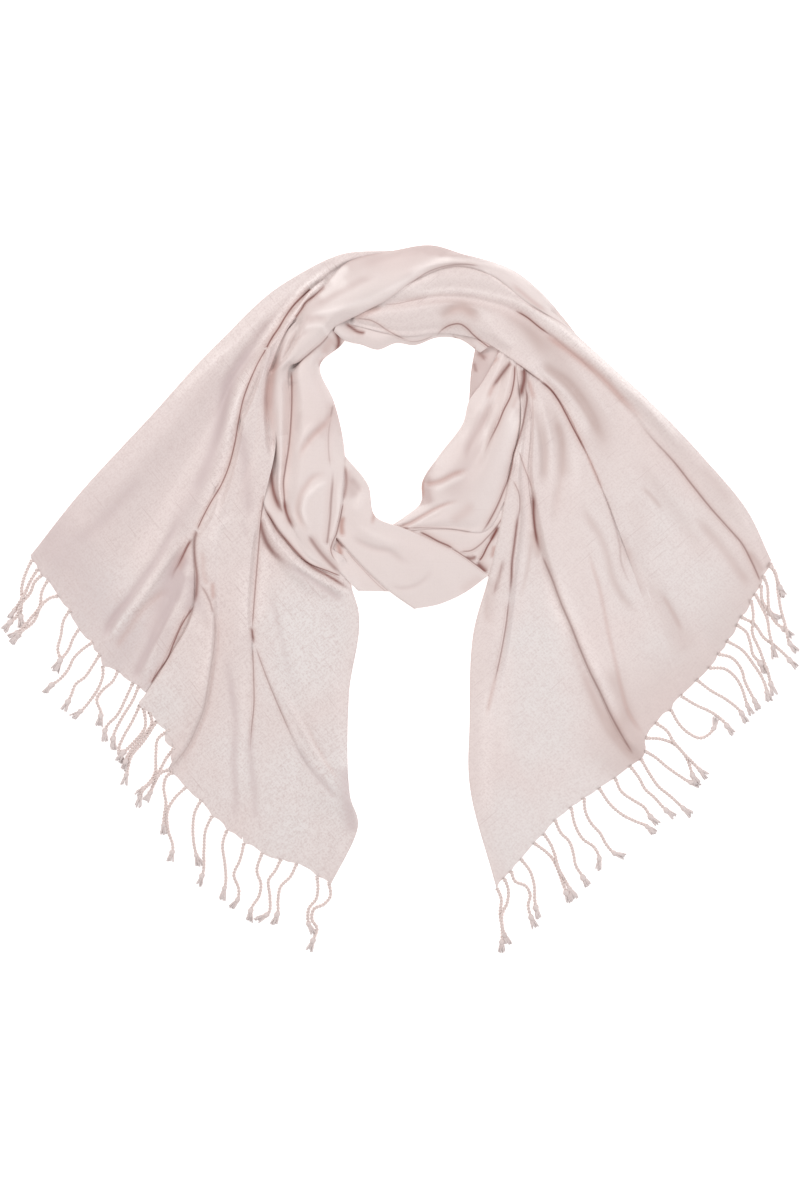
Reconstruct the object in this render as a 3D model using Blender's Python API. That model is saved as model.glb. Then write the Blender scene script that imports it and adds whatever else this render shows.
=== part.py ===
"""Fringed pashmina shawl, laid flat on a table with one turn round the neck.

Metres, +Z up.  The origin is the middle of the shawl's footprint, on the table.
Every stretch of cloth that shows is one thin closed wall, lofted through its long folds.
Stretches are laid down one after another, each resting on the ones below it.
"""
import math

import bmesh
import bpy
import numpy as np

# ---- driving sizes -------------------------------------------------------------------------
MM = 0.001
SQUARE = 1.3 * MM             # side of one square of the lay-out board
BOARD_MIDDLE = (397.74, 599.83)  # the square over the origin, counted right and down the board
WALL = 1.2 * MM               # cloth wall, measured upright
STEEPEST_WALL = 2.2 * MM      # the upright measure of that wall on the steepest fold
SEAM = 0.3 * MM               # air between two pieces that lie on each other
CELL = 2.0 * MM               # grid on which resting heights are compared

HEM_STRIP = 2.6 * MM          # width of the twisted edge that the fringe grows from
ROOT = 2.6 * MM               # width of one cord where it leaves the edge
CORD_SHAPE = (                # share of the cord's length, width there
    (0.10, 2.6 * MM),
    (0.38, 2.8 * MM),
    (0.66, 2.6 * MM),
    (0.84, 2.6 * MM),
    (0.88, 6.5 * MM),
    (0.92, 4.0 * MM),
    (1.00, 8.5 * MM),
)
CORD_THICK = 2.4 * MM         # height of a cord that lies on the table
CORD_FLOOR = 0.4 * MM         # air under a cord

COLOURS = {"cloth": (0.80, 0.66, 0.63), "cord": (0.74, 0.60, 0.58)}
ROUGHNESS = 0.55

# ---- the folds -----------------------------------------------------------------------------
# One row for each long fold, from one side of the stretch to the other.
# Each entry is a section: square across the board, square down the board, height in mm.
TAIL_LEFT_OUTER = (
    ("outer edge", (392, 251, 8), (340, 255, 6), (288, 281, 4), (220, 341, 3), (150, 417, 2),
     (80, 493, 1.5), (31, 555, 1.2)),
    ("first swell", (393, 255, 9), (343, 261, 9), (297, 290, 9), (233, 352, 11), (168, 434, 9),
     (101, 519, 6), (50, 583, 1.2)),
    ("long hollow", (394, 262, 8), (346, 269, 7), (305, 297, 6), (245, 362, 4), (190, 453, 2),
     (134, 545, 1.5), (78, 627, 1.2)),
    ("second swell", (394, 268, 9), (348, 275, 12), (310, 302, 15), (257, 371, 15), (210, 467, 12),
     (158, 566, 9), (104, 662, 4)),
    ("pleat hollow", (395, 272, 8), (350, 281, 8), (315, 306, 10), (263, 377, 10), (221, 478, 6),
     (170, 577, 3), (121, 675, 1.2)),
    ("pleat", (395, 275, 7), (351, 285, 6), (318, 309, 8), (268, 382, 9), (230, 486, 8),
     (184, 586, 9), (137, 687, 4)),
    ("tucked edge", (396, 279, 5), (353, 290, 5), (323, 314, 5), (275, 389, 5), (240, 495, 3),
     (206, 600, 1.5), (160, 700, 1.2)),
)
TAIL_LEFT_MIDDLE = (
    ("pleat edge", (337, 270, 12), (297, 304, 17), (252, 378, 18), (235, 448, 15), (197, 535, 12),
     (194, 609, 11), (169, 658, 9), (141, 701, 6)),
    ("pleat middle", (337, 274, 14), (299, 306, 20), (257, 378, 21), (243, 450, 17),
     (207, 540, 14), (204, 612, 13), (188, 672, 10), (157, 722, 6)),
    ("pleat lap", (338, 277, 14), (300, 307, 19), (262, 378, 20), (250, 450, 16), (217, 540, 13),
     (213, 613, 12), (206, 690, 9), (173, 763, 6)),
    ("under the lap", (338, 279, 13), (301, 308, 18), (265, 378, 18), (254, 450, 14),
     (223, 540, 11), (219, 615, 6), (212, 696, 2.5), (178, 777, 1.6)),
    ("soft swell", (339, 281, 13), (302, 309, 17), (268, 377, 18), (262, 448, 15), (236, 533, 11),
     (232, 622, 7), (228, 718, 3.5), (207, 808, 1.6)),
    ("crossing edge", (340, 284, 11), (304, 310, 14), (270, 376, 15), (276, 441, 12),
     (261, 520, 10), (252, 632, 7), (253, 735, 3.5), (242, 840, 2.8)),
)
TAIL_LEFT_INNER = (
    ("covered edge", (250, 497, 3), (249, 516, 5), (247, 540, 3), (243, 632, 1.4),
     (240, 735, 1.2), (234, 782, 1.2), (228, 819, 1.2)),
    ("crossing", (264, 495, 4), (261, 521, 11), (260, 545, 4), (255, 632, 1.6), (253, 735, 1.2),
     (250, 790, 1.2), (245, 838, 1.2)),
    ("first swell", (282, 521, 4), (274, 543, 12), (272, 560, 5), (269, 640, 5), (270, 745, 1.2),
     (270, 802, 1.2), (264, 854, 1.2)),
    ("hollow", (305, 547, 4), (295, 564, 12), (291, 584, 5), (288, 660, 8), (296, 762, 1.4),
     (292, 814, 1.2), (285, 861, 1.2)),
    ("rolled fold", (325, 562, 4), (317, 579, 10), (314, 600, 5), (314, 682, 9), (318, 770, 7),
     (314, 824, 1.4), (305, 867, 1.2)),
    ("fold flank", (340, 568, 3), (336, 585, 8), (337, 606, 5), (336, 690, 7), (339, 785, 8),
     (338, 828, 2), (321, 877, 1.2)),
    ("inner edge", (350, 573, 2), (352, 588, 4), (358, 608, 3), (349, 695, 3), (350, 795, 4),
     (357.5, 829, 1.2), (332, 883, 1.2)),
)
LOOP_LEFT = (
    ("crossing edge", (300, 318, 6), (272, 352, 6), (262, 400, 6), (259, 455, 6), (263, 502, 9),
     (278, 529, 12), (300, 557, 12), (328, 573, 9), (352, 581, 6)),
    ("deep crease", (303, 320, 8), (277, 355, 6), (270, 402, 4), (274, 458, 4), (277, 500, 7),
     (288, 528, 11), (306, 556, 11), (330, 570, 9), (353, 577, 6)),
    ("narrow pleat", (307, 321, 14), (284, 359, 16), (281, 402, 16), (281, 458, 14),
     (281, 500, 12), (291, 526, 12), (309, 555, 12), (332, 568, 9), (354, 575, 6)),
    ("long crease", (312, 323, 12), (291, 368, 9), (290, 402, 8), (287, 458, 7), (285, 497, 9),
     (296, 531, 14), (313, 554, 12), (334, 566, 9), (354, 573, 6)),
    ("broad swell", (320, 327, 20), (300, 368, 21), (304, 402, 23), (304, 458, 21),
     (303, 502, 20), (307, 531, 17), (320, 549, 13), (337, 562, 9), (355, 569, 6)),
    ("second swell", (328, 330, 21), (307, 368, 23), (316, 402, 24), (319, 458, 21),
     (317, 503, 20), (317, 532, 17), (324, 547, 13), (339, 559, 9), (356, 566, 6)),
    ("neck pleat", (336, 335, 18), (314, 368, 19), (326, 402, 20), (333, 458, 17),
     (331, 503, 16), (327, 534, 13), (329, 546, 10), (341, 557, 8), (357, 563, 5)),
    ("neck edge", (345, 341, 10), (320, 367, 9), (334, 402, 9), (345, 457, 8), (343, 504, 8),
     (336, 540, 7), (334, 550, 6), (344, 557, 6), (358, 560, 5)),
)
LOOP_FRONT = (
    ("selvedge", (325, 465, 4), (325, 500, 4), (329, 530, 5), (341, 543, 7), (366, 570, 7),
     (390, 592, 6), (414, 609, 3)),
    ("lower swell", (332, 462, 7), (340, 495, 8), (350, 525, 9), (364, 539, 10), (392, 560, 10),
     (416, 582, 8), (440, 604, 3)),
    ("upper swell", (338, 459, 9), (355, 488, 12), (366, 520, 13), (385, 534, 13), (416, 551, 12),
     (441, 570, 9), (466, 592, 3)),
    ("neck edge", (345, 456, 6), (368, 485, 9), (377, 518, 12), (403, 528, 12), (438, 543, 10),
     (465, 557, 8), (489, 575, 4)),
)
LOOP_FRONT_UNDER = (
    ("turned edge", (322, 545, 2), (335, 566, 2), (347, 579.5, 2), (358, 591, 2)),
    ("covered edge", (342, 531, 2.5), (357, 555, 3), (374, 576, 3), (389, 591.5, 2)),
)
LOOP_RIGHT = (
    ("neck edge", (500, 350, 8), (483, 381, 6), (469, 401, 5), (462, 425, 4), (438, 457, 4),
     (422, 483, 4), (421, 502, 5), (404, 517, 6), (384, 530, 7)),
    ("first pleat", (506, 351, 14), (492, 385, 15), (480, 412, 14), (472, 441, 14),
     (452, 471, 14), (436, 496, 12), (430, 508, 10), (410, 520, 9), (386, 531, 7)),
    ("hollow", (510, 352, 14), (498, 388, 12), (488, 417, 12), (480, 449, 14), (463, 480, 16),
     (447, 504, 13), (436, 513, 11), (413, 522, 9), (388, 532, 7)),
    ("second pleat", (515, 354, 18), (507, 391, 22), (499, 424, 24), (490, 457, 23),
     (477, 489, 20), (460, 514, 15), (442, 519, 12), (418, 524, 9), (390, 532, 7)),
    ("third pleat", (521, 356, 18), (517, 396, 22), (510, 430, 22), (501, 464, 20),
     (489, 497, 16), (472, 523, 12), (447, 524.5, 10), (421, 527, 8), (392, 533, 7)),
    ("tucked edge", (531, 360, 12), (532, 401, 10), (526, 433, 9), (517, 471, 8), (504, 504, 7),
     (482, 533, 6), (451, 530, 6), (424, 530, 6), (395, 534, 5)),
)
LOOP_RIGHT_UNDER = (
    ("covered edge", (512, 452, 7), (500, 487, 6), (484, 517, 5), (450, 519, 5), (405, 520, 4)),
    ("upper pleat", (514, 470, 8), (505, 510, 9), (489, 535, 8), (455, 534, 7), (405, 528, 5)),
    ("lower pleat", (516, 487, 6), (509, 530, 7), (494, 555, 6), (459, 547, 5), (405, 537, 3)),
    ("fold edge", (519, 505, 3), (512, 555, 2), (496, 576, 2), (464, 568, 2), (406, 547, 2)),
)
NECK_BACK = (
    ("neck edge", (475, 349, 3), (471, 372, 3), (469, 401, 2)),
    ("middle", (487, 344, 4), (483, 372, 4), (480, 402, 3)),
    ("covered edge", (501, 339, 3), (497, 374, 3), (492, 404, 2)),
)
NECK_FRONT = (
    ("neck edge", (334, 333, 8), (344, 341, 7), (361, 345, 6), (378, 350, 6), (396, 343.5, 6),
     (414, 345.5, 6), (437, 338, 6), (458, 339, 6), (480, 353, 6)),
    ("twist", (338, 324, 13), (348, 331, 12), (363, 335, 12), (380, 339, 13), (397, 334, 13),
     (415, 335, 13), (438, 330, 12), (462, 331, 11), (489, 347, 11)),
    ("covered edge", (343, 313, 9), (352, 319, 9), (366, 322, 9), (382, 325, 9), (398, 323, 9),
     (416, 324, 9), (439, 322, 9), (466, 323, 9), (497, 340, 9)),
)
TAIL_RIGHT_INNER = (
    ("selvedge", (514, 354, 12), (520, 425, 10), (510, 470, 8), (501, 518, 6), (489, 575, 4),
     (473, 635, 2), (469.5, 720, 1.5), (472, 800, 1.2), (497, 889, 1.2)),
    ("edge fold", (517, 355, 14), (523, 426, 16), (517, 472, 15), (517, 518, 13), (510, 575, 12),
     (503, 637, 9), (487, 714, 5), (484, 797, 1.6), (503, 877, 1.2)),
    ("fold foot", (520, 356, 13), (526, 426, 13), (521, 473, 11), (523, 517, 8), (518, 575, 5),
     (512, 640, 2), (500, 728, 1.2), (498, 802, 1.2), (516, 864, 1.2)),
    ("panel", (523, 357, 13), (528, 426, 13), (524, 474, 9), (528, 517, 5), (531, 574, 2),
     (536, 640, 1.2), (536, 722, 1.2), (545, 793, 1.2), (556, 820, 1.2)),
    ("second panel", (526, 358, 13), (530, 427, 13), (527, 475, 9), (532, 517, 5),
     (541, 573, 2), (554, 636, 1.2), (569, 706, 1.2), (585, 767, 1.2), (600, 788, 1.2)),
    ("lap foot", (529, 360, 13), (531, 427, 12), (529, 475, 8), (535, 516, 5), (547, 572, 2),
     (568, 630, 1.4), (594, 690, 1.4), (616, 738, 1.4), (636, 762, 1.2)),
    ("lap", (532, 361, 14), (534, 427, 17), (533, 475, 15), (540, 515, 13), (553, 570, 11),
     (575, 627, 9), (601, 685, 8), (624, 731, 6), (644, 755, 3)),
    ("lap shoulder", (536, 363, 14), (543, 423, 14), (548, 468, 11), (560, 509, 9),
     (578, 561, 8), (597, 615, 7), (611, 665, 6), (630, 706, 4), (645, 738, 2)),
    ("hollow", (541, 366, 12), (555, 418, 11), (566, 460, 8), (583, 501, 6), (602, 548, 4),
     (619, 597, 2.5), (632, 643, 1.8), (646, 682, 1.4), (662, 715, 1.2)),
    ("covered edge", (547, 369, 9), (567, 410, 8), (585, 448, 6), (606, 489, 4), (628, 535, 3),
     (646, 582, 2), (660, 625, 1.4), (673, 666, 1.2), (684, 692, 1.2)),
)
TAIL_RIGHT_OUTER = (
    ("outer edge", (336, 300, 14), (398, 282, 20), (450, 260, 22), (490, 267, 20),
     (541, 303, 13), (585, 343, 6), (645, 397, 3), (703, 457, 2), (747, 510, 1.5),
     (771, 560, 1.2)),
    ("outer fold", (338, 305, 16), (399, 291, 25), (450, 279, 27), (497, 286, 27),
     (545, 318, 23), (590, 357, 19), (648, 410, 15), (706, 474, 10), (745, 523, 7),
     (767, 570, 3)),
    ("long crease", (340, 311, 13), (400, 303, 17), (455, 297.5, 18), (500, 306, 18),
     (546, 335, 14), (591, 372, 10), (645, 427, 6), (700, 498, 4), (735, 536, 2.5),
     (759, 587, 1.4)),
    ("broad swell", (342, 316, 14), (401, 314, 23), (456, 308, 26), (499, 321, 26),
     (542, 350, 22), (585, 392, 16), (630, 448, 11), (682, 520, 7), (713, 575, 3.5),
     (738, 627, 1.2)),
    ("second swell", (345, 320, 13), (402, 326, 19), (455, 321, 23), (490, 333, 24),
     (532, 361, 22), (573, 401, 17), (612, 458, 11), (655, 532, 7), (684, 603, 3),
     (711, 666, 1.2)),
    ("lower edge", (350, 325, 10), (403, 337, 11), (445, 334, 11), (480, 341, 13),
     (523, 369.5, 14), (557, 398, 12), (588, 456, 9), (622, 540, 6), (651, 620, 2.8),
     (684, 693, 2.6)),
)
CROWN = (
    ("outer edge", (268, 379, 20), (280, 349, 22), (301, 312, 22), (326, 286, 18), (348, 263, 13),
     (390, 252, 7), (430, 245.5, 5), (470, 257.5, 9), (510, 269.5, 11), (545, 297, 8),
     (571, 328, 4)),
    ("outer swell", (274, 377, 23), (286, 353, 27), (308, 322, 31), (334, 298, 31),
     (355, 280, 29), (390, 268, 27), (425, 258, 25), (463, 261.5, 24), (504, 271, 22),
     (541, 298, 15), (570, 329, 6)),
    ("inner swell", (281, 374, 24), (293, 358, 29), (315, 335, 35), (336, 314, 38),
     (360, 298, 38), (389, 286, 37), (420, 271, 35), (457, 265.5, 32), (496, 274, 26),
     (534, 302, 17), (569, 330, 6)),
    ("front edge", (289, 370, 22), (300, 363, 24), (321, 347, 27), (335, 329, 28),
     (363, 314, 29), (388, 301, 29), (414, 283, 28), (452, 269, 27), (489, 277, 24),
     (527, 305.5, 14), (568, 331.5, 5)),
)

# Each stretch in the order it is laid down: name, folds, faces across it, faces along it.
STRETCHES = (
    ("tail_left_inner", TAIL_LEFT_INNER, 13, 15),
    ("tail_left_outer", TAIL_LEFT_OUTER, 20, 20),
    ("loop_front_under", LOOP_FRONT_UNDER, 2, 4),
    ("loop_right_under", LOOP_RIGHT_UNDER, 5, 8),
    ("neck_back", NECK_BACK, 3, 4),
    ("loop_right", LOOP_RIGHT, 9, 14),
    ("loop_front", LOOP_FRONT, 7, 10),
    ("loop_left", LOOP_LEFT, 11, 15),
    ("tail_right_inner", TAIL_RIGHT_INNER, 19, 20),
    ("neck_front", NECK_FRONT, 4, 12),
    ("tail_right_outer", TAIL_RIGHT_OUTER, 15, 24),
    ("tail_left_middle", TAIL_LEFT_MIDDLE, 15, 21),
    ("crown", CROWN, 8, 18),
)

# Fringe on the hem of each stretch that has one.  A cord's place is its share of the hem, its
# heading is in degrees on the board (0 right, -90 down), its bend is added along its length.
FRINGES = (
    ("fringe_left_outer", "tail_left_outer", 0.02, 0.82, 12, 90, -112, -114, 14),
    ("fringe_left_middle", "tail_left_middle", 0.02, 0.90, 12, 90, -116, -102, 12),
    ("fringe_left_inner", "tail_left_inner", 0.25, 0.98, 7, 90, -98, -93, -14),
    ("fringe_right_inner", "tail_right_inner", 0.02, 0.93, 17, 90, -86, -44, 10),
    ("fringe_right_outer", "tail_right_outer", 0.03, 0.98, 12, 90, -74, -46, -10),
)


def empty_scene():
    for item in list(bpy.data.objects):
        bpy.data.objects.remove(item, do_unlink=True)


def finish(name, colour):
    """A plain cloth finish with its own colour, roughness and metallic value."""
    material = bpy.data.materials.new(name)
    material.use_nodes = True
    shader = material.node_tree.nodes["Principled BSDF"]
    shader.inputs["Base Color"].default_value = (*colour, 1.0)
    shader.inputs["Roughness"].default_value = ROUGHNESS
    shader.inputs["Metallic"].default_value = 0.0
    return material


# ---- from folds to a surface ---------------------------------------------------------------
def board_to_metres(folds):
    """The table of folds as an array: fold, section, (x, y, height) in metres."""
    table = np.array([fold[1:] for fold in folds], dtype=float)
    across, down, height = table[..., 0], table[..., 1], table[..., 2]
    return np.stack(
        ((across - BOARD_MIDDLE[0]) * SQUARE, (BOARD_MIDDLE[1] - down) * SQUARE, height * MM),
        axis=-1,
    )


def spacing(points):
    """Mean running distance along the first axis of a grid of points, seen from above."""
    steps = np.linalg.norm(np.diff(points[..., :2], axis=0), axis=-1)
    return np.concatenate(([0.0], np.cumsum(steps.mean(axis=tuple(range(1, steps.ndim))))))


def smooth_curve(knots, values, places):
    """Values read at places from a smooth curve; heights never swing past their neighbours."""
    step = np.diff(knots)
    shape = (-1,) + (1,) * (values.ndim - 1)
    rate = np.diff(values, axis=0) / step.reshape(shape)
    before, after = step[:-1].reshape(shape), step[1:].reshape(shape)
    slope = np.empty_like(values)
    slope[0], slope[-1] = rate[0], rate[-1]
    slope[1:-1] = (rate[:-1] * after + rate[1:] * before) / (before + after)
    low, high = rate[:-1, ..., 2], rate[1:, ..., 2]
    limit = 3 * np.minimum(abs(low), abs(high))
    level = np.clip(slope[1:-1, ..., 2], -limit, limit)
    slope[1:-1, ..., 2] = np.where(low * high > 0, level, 0.0)
    index = np.clip(np.searchsorted(knots, places, side="right") - 1, 0, len(step) - 1)
    width = step[index].reshape(shape)
    t = ((places - knots[index]) / step[index]).reshape(shape)
    return (
        (2 * t**3 - 3 * t**2 + 1) * values[index]
        + (t**3 - 2 * t**2 + t) * width * slope[index]
        + (3 * t**2 - 2 * t**3) * values[index + 1]
        + (t**3 - t**2) * width * slope[index + 1]
    )


def places_through(knots, faces):
    """Places along the knots that pass through every knot, about evenly spaced."""
    share = np.diff(knots) / knots[-1] * faces
    counts = np.maximum(1, np.round(share).astype(int))
    while counts.sum() > faces and counts.max() > 1:
        counts[np.argmax(counts - share)] -= 1
    runs = [np.linspace(a, b, n, endpoint=False) for a, b, n in zip(knots, knots[1:], counts)]
    return np.concatenate(runs + [knots[-1:]])


def loft(folds, faces_across, faces_along):
    """Grid of surface points, (along, across, 3), through every fold of the table."""
    table = board_to_metres(folds).transpose(1, 0, 2)
    along = spacing(table)
    rows = smooth_curve(along, table, np.linspace(0.0, along[-1], faces_along + 1))
    across = spacing(rows.transpose(1, 0, 2))
    columns = smooth_curve(across, rows.transpose(1, 0, 2), places_through(across, faces_across))
    return columns.transpose(1, 0, 2)


def triangles(grid):
    """Corner numbers of the two triangles of every face of a grid."""
    along, across = grid.shape[:2]
    number = np.arange(along * across).reshape(along, across)
    a, b = number[:-1, :-1].ravel(), number[:-1, 1:].ravel()
    c, d = number[1:, 1:].ravel(), number[1:, :-1].ravel()
    return np.concatenate((np.stack((a, b, c), 1), np.stack((a, c, d), 1)))


# ---- laying one stretch on another ---------------------------------------------------------
class Table:
    """The heights reached so far over the table top."""

    def __init__(self, half_width=0.62):
        self.count = int(2 * half_width / CELL)
        self.corner = -half_width
        self.height = np.zeros((self.count, self.count))
        steps = 16
        pairs = [(i, j) for i in range(steps + 1) for j in range(steps + 1 - i)]
        first, second = np.array(pairs, dtype=float).T / steps
        self.weights = np.stack((first, second, 1 - first - second), 1)

    def cells(self, points):
        place = ((points[..., :2] - self.corner) / CELL).astype(int)
        return np.clip(place, 1, self.count - 2)

    def add(self, points, corners):
        """Raise the table's heights to a surface, and to one cell round it."""
        samples = np.einsum("sk,tkc->tsc", self.weights, points[corners])
        cell = self.cells(samples)
        for shift_x in (-1, 0, 1):
            for shift_y in (-1, 0, 1):
                spot = (cell[..., 0] + shift_x, cell[..., 1] + shift_y)
                np.maximum.at(self.height, spot, samples[..., 2])

    def settle(self, points, corners, walls):
        """Lift a stretch, where it must be lifted, until its wall clears what lies below."""
        for _ in range(60):
            samples = np.einsum("sk,tkc->tsc", self.weights, points[corners])
            wall = np.einsum("sk,tk->ts", self.weights, walls[corners])
            cell = self.cells(samples)
            below = self.height[cell[..., 0], cell[..., 1]]
            lack = np.where(below > 0, below + SEAM + wall - samples[..., 2], 0.0)
            worst = lack.max(axis=1)
            if worst.max() < 1e-6:
                break
            lift = np.zeros(len(points))
            np.maximum.at(lift, corners.ravel(), np.repeat(worst, 3))
            points[:, 2] += np.maximum(lift, 0.0) * 0.6 + np.where(lift > 0, 2e-5, 0.0)
        return points


def wall_heights(grid):
    """Upright thickness at each point, so that the wall keeps its thickness on a slope."""
    run = np.gradient(grid, axis=0)
    side = np.gradient(grid, axis=1)
    normal = np.cross(run, side)
    upright = abs(normal[..., 2]) / np.linalg.norm(normal, axis=-1)
    return np.minimum(WALL / np.maximum(upright, 0.1), STEEPEST_WALL)


def wall_object(name, grid, walls, material, collection):
    """A closed wall under a grid of points."""
    along, across = grid.shape[:2]
    mesh = bmesh.new()
    tops = [[mesh.verts.new(point) for point in row] for row in grid]
    under = grid.copy()
    under[..., 2] = np.maximum(under[..., 2] - walls, 0.0)
    feet = [[mesh.verts.new(point) for point in row] for row in under]
    for i in range(along - 1):
        for j in range(across - 1):
            a, b, c, d = tops[i][j], tops[i][j + 1], tops[i + 1][j + 1], tops[i + 1][j]
            mesh.faces.new((a, b, c))
            mesh.faces.new((a, c, d))
            a, b, c, d = feet[i][j], feet[i][j + 1], feet[i + 1][j + 1], feet[i + 1][j]
            mesh.faces.new((c, b, a))
            mesh.faces.new((d, c, a))
    rim = [(0, j) for j in range(across)] + [(i, across - 1) for i in range(1, along)]
    rim += [(along - 1, j) for j in range(across - 2, -1, -1)]
    rim += [(i, 0) for i in range(along - 2, 0, -1)]
    for (i, j), (k, m) in zip(rim, rim[1:] + rim[:1]):
        mesh.faces.new((tops[i][j], feet[i][j], feet[k][m]))
        mesh.faces.new((tops[i][j], feet[k][m], tops[k][m]))
    bmesh.ops.recalc_face_normals(mesh, faces=mesh.faces)
    return to_object(name, mesh, material, collection)


def to_object(name, mesh, material, collection):
    data = bpy.data.meshes.new(name)
    mesh.to_mesh(data)
    mesh.free()
    data.materials.append(material)
    data.shade_smooth()
    item = bpy.data.objects.new(name, data)
    collection.objects.link(item)
    return item


# ---- fringe --------------------------------------------------------------------------------
def hem_curve(grid, start, end, count):
    """Points along a hem with their outward directions, and where each cord's root begins."""
    hem = grid[-1]
    inward = grid[-2]
    length = spacing(hem[:, None, :])
    middles = np.linspace(start, end, count) * length[-1]
    roots = np.concatenate((middles - ROOT / 2, middles + ROOT / 2))
    clear = abs(length[:, None] - middles).min(axis=1) > ROOT
    inside = (length > roots.min()) & (length < roots.max())
    places = np.sort(np.concatenate((roots, length[clear & inside])))
    begins = np.isin(places, middles - ROOT / 2)
    points = np.stack([np.interp(places, length, hem[:, k]) for k in range(3)], 1)
    inner = np.stack([np.interp(places, length, inward[:, k]) for k in range(3)], 1)
    run = np.gradient(points[:, :2], axis=0)
    outward = np.stack((run[:, 1], -run[:, 0]), 1)
    outward /= np.linalg.norm(outward, axis=1)[:, None]
    flip = np.sign(((points - inner)[:, :2] * outward).sum(axis=1))
    return points, outward * flip[:, None], begins


def fringe_object(name, grid, start, end, count, length, head_from, head_to, bend, material,
                  collection):
    """One twisted hem edge with its cords, each drawn out of the edge's outer side."""
    points, outward, begins = hem_curve(grid, start, end, count)
    mesh = bmesh.new()
    rings = []
    for point, out in zip(points, outward):
        top = max(point[2], CORD_FLOOR + CORD_THICK)
        ring = []
        for away, high in ((SEAM, 1), (SEAM + HEM_STRIP, 1), (SEAM + HEM_STRIP, 0), (SEAM, 0)):
            level = top if high else max(top - CORD_THICK, CORD_FLOOR)
            spot = point[:2] + out * away
            ring.append(mesh.verts.new((spot[0], spot[1], level)))
        rings.append(ring)
    roots = []
    for ring, following, is_root in zip(rings, rings[1:], begins):
        for m in range(4):
            n = (m + 1) % 4
            if m == 1 and is_root:
                roots.append((ring[m], ring[n], following[n], following[m]))
            else:
                mesh.faces.new((ring[m], ring[n], following[n], following[m]))
    mesh.faces.new(rings[0])
    mesh.faces.new(rings[-1][::-1])
    for k, root in enumerate(roots):
        share = k / max(1, len(roots) - 1)
        heading = math.radians(head_from + (head_to - head_from) * share)
        draw_cord(mesh, root, heading, math.radians(bend), length * MM)
    bmesh.ops.recalc_face_normals(mesh, faces=mesh.faces)
    bmesh.ops.triangulate(mesh, faces=mesh.faces)
    return to_object(name, mesh, material, collection)


def draw_cord(mesh, root, heading, bend, length):
    """Draw a four-sided cord out of a root's corners: upper, lower, lower, upper."""
    middle = sum((corner.co.xy for corner in root), root[0].co.xy * 0) / 4
    level = root[0].co.z
    edge = (root[3].co.xy - root[0].co.xy).normalized()
    ring = root
    spot = middle.copy()
    done = 0.0
    for share, width in CORD_SHAPE:
        turn = heading + bend * math.sin(2 * math.pi * share)
        step = (share - done) * length
        done = share
        spot = spot.copy()
        spot.x += math.cos(turn) * step
        spot.y += math.sin(turn) * step
        side = edge.copy()
        side.x, side.y = -math.sin(turn), math.cos(turn)
        if side.dot(edge) < 0:
            side = -side
        thick = min(width, CORD_THICK) if width < 2 * CORD_THICK else CORD_THICK * 1.3
        fall = max(0.0, 1 - share / 0.35)
        low = CORD_FLOOR + (level - CORD_THICK - CORD_FLOOR) * fall
        corners = []
        for sign, high in ((-1, 1), (-1, 0), (1, 0), (1, 1)):
            place = spot + side * (sign * width / 2)
            corners.append(mesh.verts.new((place.x, place.y, low + thick * high)))
        for m in range(4):
            n = (m + 1) % 4
            mesh.faces.new((ring[m], ring[n], corners[n], corners[m]))
        ring = corners
    mesh.faces.new(ring)


def build():
    empty_scene()
    collection = bpy.data.collections.new("pashmina_shawl")
    bpy.context.scene.collection.children.link(collection)
    table = Table()
    grids = {}
    for name, folds, across, along in STRETCHES:
        grid = loft(folds, across, along)
        walls = wall_heights(grid)
        corners = triangles(grid)
        flat = table.settle(grid.reshape(-1, 3), corners, walls.ravel())
        grid = flat.reshape(grid.shape)
        table.add(flat, corners)
        grids[name] = grid
        wall_object(name, grid, walls, finish(name, COLOURS["cloth"]), collection)
    for name, stretch, *layout in FRINGES:
        fringe_object(name, grids[stretch], *layout, finish(name, COLOURS["cord"]), collection)


build()
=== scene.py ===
"""Fringed pashmina shawl laid flat with one turn round the neck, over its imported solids."""
import math

import bmesh
import bpy
import numpy as np
from mathutils.bvhtree import BVHTree
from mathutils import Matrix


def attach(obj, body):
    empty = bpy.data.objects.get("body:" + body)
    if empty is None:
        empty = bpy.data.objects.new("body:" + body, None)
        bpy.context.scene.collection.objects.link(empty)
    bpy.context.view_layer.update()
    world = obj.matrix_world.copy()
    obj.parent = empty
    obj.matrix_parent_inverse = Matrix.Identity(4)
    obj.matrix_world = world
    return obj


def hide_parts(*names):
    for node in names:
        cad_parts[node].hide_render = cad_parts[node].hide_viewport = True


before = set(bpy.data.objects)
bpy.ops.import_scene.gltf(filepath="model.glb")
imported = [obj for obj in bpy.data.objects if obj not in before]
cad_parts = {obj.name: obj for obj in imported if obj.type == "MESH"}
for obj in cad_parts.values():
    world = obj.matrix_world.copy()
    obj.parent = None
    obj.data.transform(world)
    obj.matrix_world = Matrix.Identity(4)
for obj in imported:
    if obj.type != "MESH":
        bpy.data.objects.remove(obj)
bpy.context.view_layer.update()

# ---- driving sizes -------------------------------------------------------------------------
MM = 0.001
SQUARE = 1.3 * MM             # side of one square of the lay-out board
BOARD = (800, 1200)           # squares across and down the board
BOARD_MIDDLE = (397.74, 599.83)  # the square over the origin, counted right and down the board
TABLE_HALF = 0.62             # half the width of the table top that heights are kept for
CLOTH = 0.6 * MM              # thickness of the cloth as it looks
REST = 1.0 * MM               # height of a stretch over the one it lies on, top to top
LEAST_HEIGHT = 0.9 * MM       # least height of the top of a stretch over the table
MESH = 2.0 * MM               # distance between the points of a stretch, along its folds
CLOSER = 1.3                  # how many times closer they lie across its folds
FEWEST_FACES = (12, 16)       # least number of faces of a stretch, along and across
FEWEST_PARTS = 4              # least number of parts of a line
FINER = 4                     # how many times finer a line is measured than it is laid
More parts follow.
